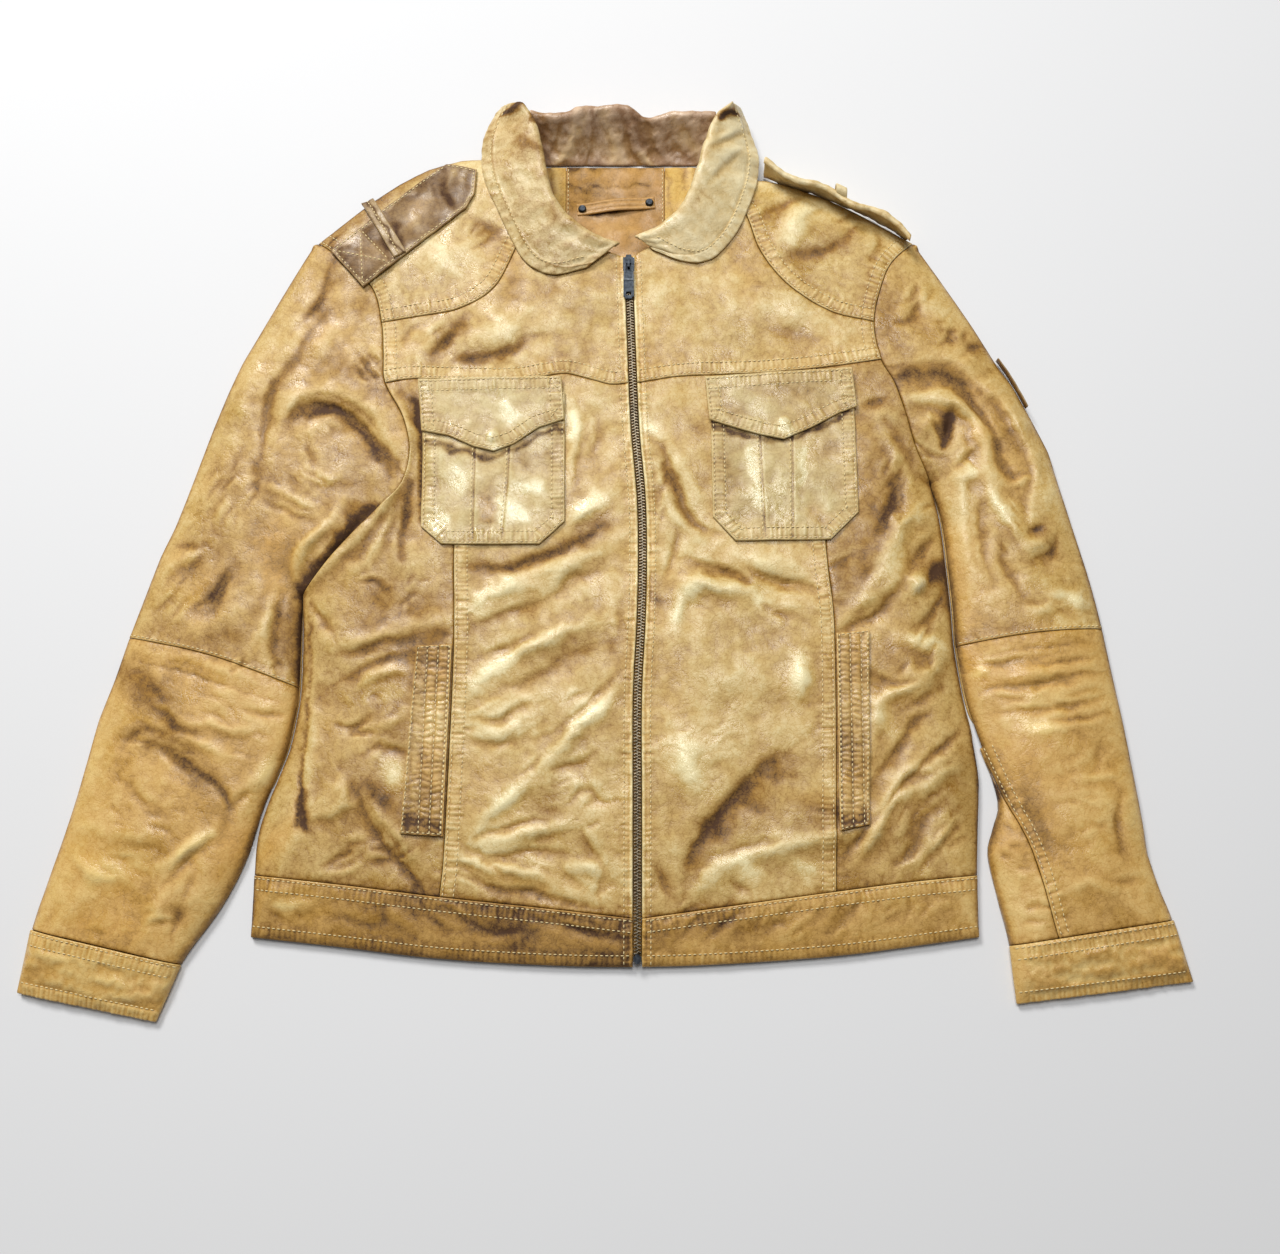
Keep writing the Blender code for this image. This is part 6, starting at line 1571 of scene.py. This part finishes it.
# ---------------------------------------------------------------------------------------
# Cuffs: each one band of leather sewn into a ring and pressed flat, with two rows of
# topstitching at the sleeve and one above its turned edge.
# ---------------------------------------------------------------------------------------
RIM_REACH = 1.2        # how far in from the rim a strip's edge is rounded


def spaced(length, step):
    """Places along a length, close together at its two ends."""
    ends = [0, 0.25, 0.7, 1.4]
    middle = np.linspace(1.4 + step * 0.6, length - 1.4 - step * 0.6,
                         max(round(length / step) - 1, 2))
    return np.concatenate([ends, middle, [length - v for v in ends[::-1]]])


def resampled(path, places):
    """Points at given places along a path, which is stretched to the places' whole length."""
    return walked(path, places * measured(path)[-1] / places[-1])


def soft_strip(name, sections, step, wall, tone, warm, lumps, ring=False, gloss=0.3):
    """A closed leather shell round a loft of sections; its rims are rounded off.

    lumps gives how far the leather stands off its plain form, from the places along it and
    across it in millimetres."""
    sections = [np.asarray(section, float) for section in sections]
    across_length = np.mean([np.linalg.norm(np.diff(p, axis=0), axis=1).sum() for p in sections])
    across = spaced(across_length, step) if not ring else np.linspace(
        0, across_length, round(across_length / step) + 1)
    lofted = np.stack([resampled(smooth(p, 1.0), across) for p in sections])
    along_length = np.mean(np.linalg.norm(np.diff(lofted, axis=0), axis=2).sum(0))
    along = spaced(along_length, step)
    grid = np.stack([resampled(smooth(lofted[:, k], 1.0), along)
                     for k in range(lofted.shape[1])], 1)
    if ring:
        grid, across = grid[:, :-1], across[:-1]
    rows, columns = grid.shape[:2]
    down = np.gradient(grid, axis=0)
    if ring:
        over = np.roll(grid, -1, 1) - np.roll(grid, 1, 1)
    else:
        over = np.gradient(grid, axis=1)
    normal = np.cross(down, over)
    normal /= np.maximum(np.linalg.norm(normal, axis=2, keepdims=True), 1e-9)
    to_rim = np.minimum(along, along[-1] - along)[:, None] * np.ones(columns)
    if not ring:
        to_rim = np.minimum(to_rim, np.minimum(across, across[-1] - across)[None, :])
    thick = 0.5 * wall * np.sqrt(np.clip(1 - (1 - np.clip(to_rim / RIM_REACH, 0.02, 1)) ** 2, 0.02, 1))
    places = np.stack(np.meshgrid(along, across, indexing="ij"), 2).reshape(-1, 2)
    index = np.arange(rows * columns).reshape(rows, columns)
    if ring:
        index = np.column_stack([index, index[:, :1]])
    a, b = index[:-1, :-1].ravel(), index[:-1, 1:].ravel()
    c, d = index[1:, 1:].ravel(), index[1:, :-1].ravel()
    faces = np.vstack([np.column_stack([a, d, c]), np.column_stack([a, c, b])])
    flat, out = grid.reshape(-1, 3), normal.reshape(-1, 3)
    shift = thick.reshape(-1, 1)
    stand = lumps(places) + folds_at(flat[:, :2], name)
    shape = stand[:, None] * out
    marks = colour_marks(flat[:, :2], faces, stand, tone, warm, gloss, name,
                         flat[:, :2] + places * 0.37)
    return shell(name, flat + shape + out * shift, flat + shape - out * shift, faces, marks)


def drape_on(item):
    """Gives the height of a piece's upper face at points seen from straight above."""
    tree = BVHTree.FromPolygons([v.co for v in item.data.vertices],
                                [tuple(face.vertices) for face in item.data.polygons])

    def top_of(points):
        heights = []
        for point in points:
            hit = tree.ray_cast((point[0] * MM, point[1] * MM, 1.0), (0, 0, -1))[0]
            heights.append(hit.z / MM if hit else -50.0)
        return np.array(heights)
    return top_of


def finished(item, node, finish):
    """Ties a piece of leather to its node and gives it its finish."""
    tied(item, node, finish)


CUFF_TOP = {"L": ((-437, -314.3), (-322, -340.3)), "R": ((432, -307.3), (307, -326.3))}
CUFF_END = {"L": ((-443, -361), (-338, -382)), "R": ((443, -353), (310, -369))}
CUFF_PLACES = np.array((0.0, 0.012, 0.04, 0.09, 0.17, 0.28, 0.4, 0.5, 0.6, 0.72, 0.83, 0.91, 0.96,
                        0.988, 1.0))
for side in "LR":
    sections = []
    for share in (0, 0.3, 0.65, 1):
        outer_end, inner_end = [np.array(p) + (np.array(q) - p) * share
                                for p, q in zip(CUFF_TOP[side], CUFF_END[side])]
        flat = outer_end + (inner_end - outer_end) * CUFF_PLACES[:, None]
        high = rest_height(flat, "sleeve " + side) + 0.9 + 0.9 * np.sin(math.pi * CUFF_PLACES)
        over = np.column_stack([flat, high])
        under = np.column_stack([flat[1:-1], np.full(len(flat) - 2, 0.9)])[::-1]
        sections.append(np.vstack([over, under, over[:1]]))
    wide = np.linalg.norm(np.subtract(*CUFF_TOP[side]))

    def ribs(places):
        """Puckers along both bands of stitching, and folds between them, on the upper side."""
        down, round_it = places[:, 0], places[:, 1]
        length = down.max()
        on_top = step_up(np.minimum(round_it, wide - round_it), 2, 6)
        top_band = 1 - step_up(down, ROWS[1], ROWS[1] + 2)
        low_band = step_up(down, length - 9, length - 8)
        ladder = np.sin(2 * math.pi * round_it / STITCH_STEP
                        + 1.6 * noise(np.stack([round_it, down * 0.5], 1), 11, 53))
        wave = noise(np.stack([round_it, down * 0.5], 1), 4.2, 51)
        folds = (1.3 * noise(np.stack([round_it * 0.6, down * 1.5], 1), 15, 52)
                 + 0.5 * noise(places, 6, 54))
        lift = (0.4 + 0.35 * ladder + 0.4 * wave) * (top_band + low_band)
        lift = lift + folds * (1 - 0.7 * (top_band + low_band)) + 0.2 * wave
        for row in (*ROWS, length - HEM_ROW):
            lift = lift - 0.4 * np.exp(-((down - row) / 0.8) ** 2)
        return lift * on_top

    cuff = soft_strip("cuff_" + side, sections, 1.4, WALL, ring=True,
                      tone=0.62 if side == "L" else 0.57, warm=0.4, gloss=0.5, lumps=ribs)
    cuff_outline = joined([np.array(p, float) for p in (*CUFF_TOP[side], *CUFF_END[side][::-1])])
    rows = [offset_path(np.array(edge[side], float), row, cuff_outline)
            for edge, row in ((CUFF_TOP, ROWS[0]), (CUFF_TOP, ROWS[1]), (CUFF_END, HEM_ROW))]
    thread = topstitch("stitches_cuff_" + side, rows, cuff_outline, drape_on(cuff), PALE_THREAD)
    finished(cuff, "cuff_" + side, AMBER_LEATHER)

# ---------------------------------------------------------------------------------------
# Neck: the facing inside the back with its lining on both sides, and the hanger loop under
# two rivets. Facing and loop are leather, the lining is a yellow twill.
# ---------------------------------------------------------------------------------------
FACING_X, FACING_Y = (-37, 47), (229, 324)
LINING_X = (-56, 80)
FACING_WALL = 1.2
FACING_LEATHER = leather("facing leather", tan=(0.43, 0.23, 0.075), pale=(0.58, 0.35, 0.14),
                         rough=0.5)
LINING_CLOTH = leather("yellow lining", tan=(0.62, 0.42, 0.11), pale=(0.78, 0.58, 0.22),
                       rough=0.7)


def lining_folds(points):
    """Soft upright folds in the lining."""
    return 0.5 * noise(points * (1, 0.2), 6, 91) + 0.35 * noise(points, 16, 92)


def facing_folds(points):
    """Soft dents in the facing."""
    return 0.7 * noise(points, 26, 93) + 0.25 * noise(points, 9, 90)


for name, (x_from, x_to), finish, slot, tone in (
        ("neck_facing", FACING_X, FACING_LEATHER, "amber_leather", 0.38),
        ("lining_L", (LINING_X[0], FACING_X[0]), LINING_CLOTH, "lining_fabric", 0.55),
        ("lining_R", (FACING_X[1], LINING_X[1]), LINING_CLOTH, "lining_fabric", 0.55)):
    low, high = FACING_Y
    outline = joined(((x_from, low), (x_to, low), (x_to, high), (x_from, high)))
    rows = [(((x, low), (x, high)), (1.8,), 0.5) for x in FACING_X] if name == "neck_facing" else ()
    panel(name, outline, "body", slot, finish, tone, warm=0.3, wall=FACING_WALL, sewn=rows,
          floor_level=LAYER + 0.5, fine=1.4, coarse=1.8, rests_on=["back"], seed=11,
          shape=facing_folds if name == "neck_facing" else lining_folds)

# ---------------------------------------------------------------------------------------
# Collar: two soft leaves of the palest leather that slope up from the chest to the roll, and
# the stand at the back of the neck, its inside dark, waxed brown and crumpled.
# ---------------------------------------------------------------------------------------
COLLAR = {
    # leaf's outer edge, roll line and the roll's height, from the front end to the neck
    "L": ((-18, 223, 8, 243, 23), (-46, 217, -14, 249, 27), (-68, 227, -33, 262, 31),
          (-82, 250, -42, 272, 33),
          (-93, 275, -49, 284, 34), (-105, 303, -55, 309, 35), (-109, 332, -60, 334, 35),
          (-104, 356, -66, 354, 35), (-93, 376, -75, 366, 34)),
    "R": ((36, 240, 23, 249, 23), (62, 229, 40, 255, 27), (85, 231, 54, 264, 31),
          (105, 252, 64, 275, 33),
          (116, 275, 69, 286, 34), (124, 300, 76, 307, 35), (127, 325, 82, 329, 35),
          (121, 350, 90, 352, 35), (112, 374, 103, 366, 34)),
}
LEAF_ROW = 9.5
COLLAR_LEATHER = leather("collar leather", tan=(0.62, 0.47, 0.22), pale=(0.82, 0.71, 0.44),
                         rough=0.42)
for side in "LR":
    sections = []
    for outer_x, outer_y, roll_x, roll_y, roll_z in smooth(COLLAR[side], 12.0):
        rest = rest_height([(outer_x, outer_y)], "body")[0] if outer_y < 328 else 8.0
        low = rest + WALL + GAP + WALL / 2 + 0.6
        out = np.array((outer_x - roll_x, outer_y - roll_y))
        out /= np.linalg.norm(out)
        profile = [(1, 0), (0.72, 0.34), (0.45, 0.64), (0.2, 0.88)]
        section = [(roll_x + (outer_x - roll_x) * share, roll_y + (outer_y - roll_y) * share,
                    low + (roll_z - low) * rise) for share, rise in profile]
        section += [(roll_x + out[0] * 1.5, roll_y + out[1] * 1.5, roll_z),
                    (roll_x - out[0] * 1.5, roll_y - out[1] * 1.5, roll_z - 2.5),
                    (roll_x - out[0] * 0.5, roll_y - out[1] * 0.5, low + 0.45 * (roll_z - low)),
                    (roll_x + out[0] * 3.0, roll_y + out[1] * 3.0, low + 1.0)]
        sections.append(section)

    def leaf_lumps(places):
        """Soft dents, finer at the outer edge, and the groove of the stitching."""
        along, across = places[:, 0], places[:, 1]
        edge = 1 - step_up(across, 8, 11)
        lift = 0.9 * noise(places, 24, 61) + 0.45 * noise(places, 9, 62)
        lift = lift + 0.45 * noise(np.stack([along, across * 0.35], 1), 4.4, 63) * (0.35 + edge)
        return lift - 0.55 * np.exp(-((across - LEAF_ROW) / 0.8) ** 2)

    leaf = soft_strip("collar_" + side, sections, 1.5, 2.2, tone=0.56 if side == "L" else 0.73,
                      warm=0.0, gloss=0.4, lumps=leaf_lumps)
    edge = smooth(np.array(COLLAR[side])[:, :2])
    leaf_outline = joined(edge, smooth(np.array(COLLAR[side])[:, 2:4])[::-1])
    thread = topstitch("stitches_collar_" + side, [offset_path(edge, LEAF_ROW - 1.2, leaf_outline)],
                       leaf_outline, drape_on(leaf), PALE_THREAD)
    finished(leaf, "collar_" + side, COLLAR_LEATHER)

COLLAR_BACK = (
    # foot_x, top_x, top_y, top_z
    (-56, -67, 358, 30), (-36, -44, 357, 28), (-12, -16, 362, 30), (10, 12, 362, 31),
    (32, 34, 355, 26), (54, 60, 357, 29), (77, 90, 357, 30),
)
NECK_SEAM_Y = 326.6
STAND_LEATHER = leather("dark stand leather", tan=(0.30, 0.165, 0.085), pale=(0.62, 0.44, 0.29),
                        brown=(0.15, 0.07, 0.03), rough=0.42)
sections = []
for foot_x, top_x, top_y, top_z in smooth(COLLAR_BACK, 8.0):
    foot = WALL / 2 + GAP
    section = [(foot_x + (top_x - foot_x) * share, NECK_SEAM_Y + (top_y - NECK_SEAM_Y) * share,
                foot + (top_z - foot) * rise)
               for share, rise in ((0, 0), (0.3, 0.18), (0.62, 0.52), (0.88, 0.88), (1, 1))]
    section += [(top_x, top_y + 3.5, top_z - 2), (top_x, top_y + 6, top_z * 0.55),
                (top_x, top_y + 6, 3)]
    sections.append(section)


def stand_lumps(places):
    """The crumpled inside of the stand, calm at its foot."""
    along, across = places[:, 0], places[:, 1]
    return (1.6 * noise(np.stack([along, across * 0.45], 1), 17, 71)
            + 0.9 * noise(places, 8, 72) + 0.3 * noise(places, 3.5, 73)) * np.clip(across / 8, 0.1, 1)


stand = soft_strip("collar_back", sections, 1.4, WALL, tone=0.66, warm=0.0, lumps=stand_lumps)
finished(stand, "collar_back", STAND_LEATHER)

# ---------------------------------------------------------------------------------------
# Hanger loop and its rivets: a folded leather strap that bows up off the facing, held by a
# domed dark rivet at each end.
# ---------------------------------------------------------------------------------------
SCRATCH = 0.12         # how much the scratches change the roughness


def metal(name, colour, rough):
    """Plated metal with fine scratches and rubbed patches."""
    material, nodes, links, shader = blank(name)
    place = nodes.new("ShaderNodeTexCoord")
    rubbed = nodes.new("ShaderNodeTexNoise")
    rubbed.inputs["Scale"].default_value = 420
    rubbed.inputs["Detail"].default_value = 5
    ramp = nodes.new("ShaderNodeValToRGB")
    ramp.color_ramp.elements[0].position, ramp.color_ramp.elements[1].position = 0.38, 0.72
    ramp.color_ramp.elements[0].color = (*[c * 0.6 for c in colour], 1)
    ramp.color_ramp.elements[1].color = (*[min(c * 1.7, 1) for c in colour], 1)
    wear = nodes.new("ShaderNodeMath")
    wear.operation = "MULTIPLY_ADD"
    wear.inputs[1].default_value, wear.inputs[2].default_value = SCRATCH * 2, rough - SCRATCH
    links.new(place.outputs["Object"], rubbed.inputs["Vector"])
    links.new(rubbed.outputs["Fac"], ramp.inputs["Fac"])
    links.new(rubbed.outputs["Fac"], wear.inputs[0])
    links.new(wear.outputs[0], shader.inputs["Roughness"])
    links.new(ramp.outputs["Color"], shader.inputs["Base Color"])
    shader.inputs["Metallic"].default_value = 1.0
    return material


GUNMETAL = metal("gunmetal", (0.045, 0.052, 0.062), 0.5)


def plated(*nodes):
    """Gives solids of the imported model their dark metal."""
    for node in nodes:
        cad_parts[node].data.materials.clear()
        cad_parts[node].data.materials.append(GUNMETAL)


RIVETS = ((-23, 284), (34, 290))
LOOP_WIDTH = 11
(ax, ay), (bx, by) = RIVETS
loop_floor = LAYER + FACING_WALL + GAP
across_x, across_y = ay - by, bx - ax
across_length = math.hypot(across_x, across_y)
across_x, across_y = [v / across_length * LOOP_WIDTH / 2 for v in (across_x, across_y)]
sections = []
for step in range(9):
    along = -0.08 + 1.16 * step / 8
    x, y = ax + (bx - ax) * along, ay + (by - ay) * along
    z = loop_floor + 0.7 + 3.0 * math.sin(math.pi * min(max(along, 0), 1)) ** 2
    sections.append([(x + side * across_x, y + side * across_y, z + 0.5 * (side == 0))
                     for side in (-1, -0.5, 0, 0.5, 1)])


def loop_edges(places):
    """A rolled edge on each side of the loop and the stitched hollow between them."""
    aside = np.minimum(places[:, 1], LOOP_WIDTH - places[:, 1])
    return (0.5 * np.exp(-((aside - 1.4) / 1.0) ** 2) - 0.3 * np.exp(-((aside - 3.2) / 0.5) ** 2)
            + 0.2 * noise(places, 4, 81))


loop = soft_strip("hanger_loop", sections, 0.9, 1.3, tone=0.52, warm=0.3, lumps=loop_edges)
finished(loop, "hanger_loop", FACING_LEATHER)
plated("rivet_L", "rivet_R")

# ---------------------------------------------------------------------------------------
# Epaulettes: the left one lies along the shoulder, pointed at the collar and doubled and box
# stitched at the sleeve, under a doubled carrier strip. The right one has flipped up and
# stands on edge. The darkest, waxiest leather on the left, pale on the right.
# ---------------------------------------------------------------------------------------
EPAULETTE_L = ((-139, 323), (-112, 315), (-113, 291), (-120, 277), (-203, 205), (-233, 240))
STRAP_END = (EPAULETTE_L[-1], EPAULETTE_L[-2])
CARRIER_L = ((-210, 286), (-200, 291), (-168, 236), (-178, 230))
CARRIER_FOLD = ((-205, 289), (-173, 233))
BOX_STITCH = (((-206.5, 257.5), (-181.5, 228.5)), ((-226, 239), (-184, 228)),
              ((-204, 211), (-208, 254)))
STRAP_LIFT = 0.9
BROWN_LEATHER = leather("brown leather", brown=(0.17, 0.095, 0.035), tan=(0.34, 0.225, 0.095),
                        pale=(0.64, 0.49, 0.27), orange=(0.38, 0.22, 0.08), rough=0.46)


def doubled_end(points):
    """The sleeve end of the strap is folded back on itself."""
    apart = nearest(points, STRAP_END)[0]
    return 1.1 * (1 - step_up(apart, 29, 31.5))


strap_outline = joined(evenly(np.array(EPAULETTE_L, float), 4.0))
strap_closed = np.vstack([strap_outline, strap_outline[:1]])
panel("epaulette_L", strap_outline, "body", "dark_leather", BROWN_LEATHER, 0.26, warm=0.3,
      gloss=0.1, layer=1, lift=STRAP_LIFT, rests_on=["shoulder_L"],
      sewn=[(strap_closed, (2.4,), 0.45)] + [(np.array(path), (0.5,), 0.3) for path in BOX_STITCH],
      fine=1.3, coarse=1.6, seed=12, shape=doubled_end)
carrier_outline = joined(evenly(np.array(CARRIER_L, float), 3.0))
panel("carrier_L", carrier_outline, "body", "dark_leather", BROWN_LEATHER, 0.55, warm=0.05,
      layer=2, lift=STRAP_LIFT + 0.9, rests_on=["epaulette_L"], fine=1.0, coarse=1.2, seed=13,
      sewn=[(np.array(CARRIER_FOLD), (0.5,), 0.2)],
      shape=lambda points: -0.6 * np.exp(-(nearest(points, CARRIER_FOLD)[0] / 0.9) ** 2))

EPAULETTE_R = ((132, 316.6), (148, 309.6), (165, 303.6), (185, 296.1), (205, 286.6),
               (225, 276.6), (243, 264.6), (252, 257.6))
# how far its top edge stands off its foot, from the curled tip to the sleeve
EPAULETTE_TOP = ((132, 3.5), (138, 1), (146, -3), (161, -5), (172, -2.5), (184, -3), (196, -6.5),
                 (208, -8), (218, -4.5), (231, -3), (243, -4.5), (252, -9))
EPAULETTE_HEIGHT = 25
CARRIER_R = ((191, 293.6), (200, 289.1))
strap_low = WALL + 1
strap_high = strap_low + EPAULETTE_HEIGHT
sections = []
for x, y in smooth(EPAULETTE_R, 6.0):
    top = float(np.interp(x, *zip(*EPAULETTE_TOP)))
    sections.append([(x, y - 1, strap_low), (x - 0.5, y - 2 + 0.3 * top, strap_low + 9),
                     (x - 1, y + top, strap_high - 4), (x - 1.4, y - 1.2 + top, strap_high - 0.6),
                     (x - 1.8, y - 3.4 + top, strap_high), (x - 2, y - 4.8 + top, strap_high - 2)])
strap = soft_strip("epaulette_R", sections, 1.4, 2.2, tone=0.66, warm=0.05,
                   lumps=lambda places: 0.9 * noise(places, 13, 82) + 0.4 * noise(places, 5, 83))
finished(strap, "epaulette_R", COLLAR_LEATHER)
sections = [[(x, y + 3, strap_low), (x - 1.4, y + 1.2, strap_high - 1),
             (x - 1.5, y - 2.8, strap_high + 3), (x - 1.4, y - 7, strap_high - 1),
             (x - 1.0, y - 5.6, strap_high - 9)] for x, y in CARRIER_R]
carrier = soft_strip("carrier_R", sections, 1.2, 1.4, tone=0.75, warm=0.0,
                     lumps=lambda places: 0.15 * noise(places, 5, 84))
finished(carrier, "carrier_R", COLLAR_LEATHER)

# ---------------------------------------------------------------------------------------
# Patch on the right sleeve's outer fold, bare: an oval of brown leather stitched on, seen
# on edge because the fold carries it upright.
# ---------------------------------------------------------------------------------------
PATCH_R = ((321.6, 147.5), (329.6, 135), (337.1, 120.6), (344.1, 105.6))
PATCH_HEIGHT = 11
sections = [[(x - 1.1 * share, y - 2.2 * share, WALL + 1 + PATCH_HEIGHT * share)
             for share in (0, 0.5, 1)] for x, y in PATCH_R]
patch = soft_strip("sleeve_patch_R", sections, 1.2, 1.4, tone=0.45, warm=0.1,
                   lumps=lambda places: 0.2 * noise(places, 7, 85))
finished(patch, "sleeve_patch_R", BROWN_LEATHER)

# ---------------------------------------------------------------------------------------
# Zip: gunmetal teeth clamped on a woven tape between the fronts, the slider at its top, the
# pull tab that hangs from the slider, and the box at the lower end.
# ---------------------------------------------------------------------------------------
TOOTH_SIZE, TOOTH_STEP = (3.6, 1.15, 1.5), 2.5
TOOTH_OUT, TOOTH_SLANT = 1.05, 0.42     # from the middle line to a tooth, and its lean
TAPE_HALF, TAPE_WALL = 3.2, 0.7
ZIP_BOX_Y, SLIDER_Y = -336, 226.5
chain_low, chain_high = ZIP_BOX_Y + 4, SLIDER_Y - 8
spine = smooth(stretch(zip_line, (24, chain_low), (17, chain_high)), 2.0)
run = np.gradient(spine, axis=0)
run /= np.linalg.norm(run, axis=1, keepdims=True)
aside = np.stack([run[:, 1], -run[:, 0]], 1)
tape_outline = joined(spine + aside * TAPE_HALF, (spine - aside * TAPE_HALF)[::-1])
TAPE_CLOTH = leather("zip tape", tan=(0.10, 0.055, 0.022), pale=(0.20, 0.12, 0.05), rough=0.8)
panel("zip_chain", tape_outline, "body", "gunmetal", TAPE_CLOTH, 0.45, warm=0.2,
      wall=TAPE_WALL, rests_on=["back"], fine=1.6, coarse=1.6, seed=14)



def soften(offset, segments):
    """Bevels every edge of the active piece."""
    bpy.ops.object.mode_set(mode="EDIT")
    bpy.ops.mesh.select_all(action="SELECT")
    bpy.ops.mesh.bevel(offset=offset * MM, segments=segments, affect="EDGES")
    bpy.ops.object.mode_set(mode="OBJECT")


bpy.ops.mesh.primitive_cube_add(size=1)
tooth = bpy.context.object
tooth.name = "zip_teeth"
tooth.scale = [size * MM for size in TOOTH_SIZE]
bpy.ops.object.transform_apply(scale=True)
soften(0.32, 1)
one = np.empty(3 * len(tooth.data.vertices))
tooth.data.vertices.foreach_get("co", one)
one = one.reshape(-1, 3)
corners = [list(face.vertices) for face in tooth.data.polygons]
at = measured(spine)
verts, faces = [], []
for side, start in ((-1, 1.0), (1, 1.0 + TOOTH_STEP / 2)):
    places = np.arange(start, at[-1], TOOTH_STEP)
    middles = walked(spine, places)
    heights = rest_height(middles, "body") + TAPE_WALL + 0.75
    turns = [np.interp(places, at, run[:, k]) for k in (0, 1)]
    for (x, y), z, rx, ry in zip(middles, heights, *turns):
        lean = one + (side * TOOTH_OUT * MM, 0, 0)
        slide = lean - np.abs(lean[:, :1]) * (0, TOOTH_SLANT, 0)
        faces += [[v + len(one) * len(verts) for v in face] for face in corners]
        verts.append(np.stack([slide[:, 0] * ry + slide[:, 1] * rx + x * MM,
                               -slide[:, 0] * rx + slide[:, 1] * ry + y * MM,
                               slide[:, 2] + z * MM], 1))
mesh = bpy.data.meshes.new("zip_teeth")
mesh.from_pydata(np.vstack(verts).tolist(), [], faces)
tooth.data = mesh
ZIP_METAL = metal("zip teeth", (0.24, 0.20, 0.14), 0.4)
mesh.materials.append(ZIP_METAL)
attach(tooth, "jacket")

# a raised rim on each side of the tab and a bar across it: middle, from and to along the tab,
# and width
TAB_RIMS = ((-3.7, 3, 17, 0.8), (3.7, 3, 17, 0.8), (0, 15, 16.2, 6.8))
RIM_THICK, RIM_LIFT = 0.8, 0.2
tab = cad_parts["pull_tab"]
corners = np.array([tab.matrix_world @ vert.co for vert in tab.data.vertices])
near, far = (corners[abs(corners[:, 1] - y) < 5 * MM] for y in (corners[:, 1].max(),
                                                              corners[:, 1].min()))
near, far = near[near[:, 2].argmax()], far[far[:, 2].argmax()]
droop = math.atan2(near[2] - far[2], near[1] - far[1])
parts = []
for x, low, high, wide in TAB_RIMS:
    down = (corners[:, 1].max() - far[1]) - 0.5 * (low + high) * MM
    bpy.ops.mesh.primitive_cube_add(size=1, rotation=(droop, 0, 0), location=(
        corners[:, 0].mean() + x * MM, far[1] + down,
        far[2] + down * math.tan(droop) + RIM_LIFT * MM))
    part = bpy.context.object
    part.scale = (wide * MM, (high - low) * MM, RIM_THICK * MM)
    parts.append(part)
for part in parts:
    part.select_set(True)
bpy.ops.object.join()
rims = bpy.context.object
rims.name = "pull_tab_rims"
bpy.ops.object.transform_apply(location=True, rotation=True, scale=True)
soften(0.25, 2)
rims.data.materials.append(metal("rubbed gunmetal", (0.10, 0.11, 0.125), 0.42))
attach(rims, "pull_tab")
plated("zip_slider", "pull_tab", "zip_box")
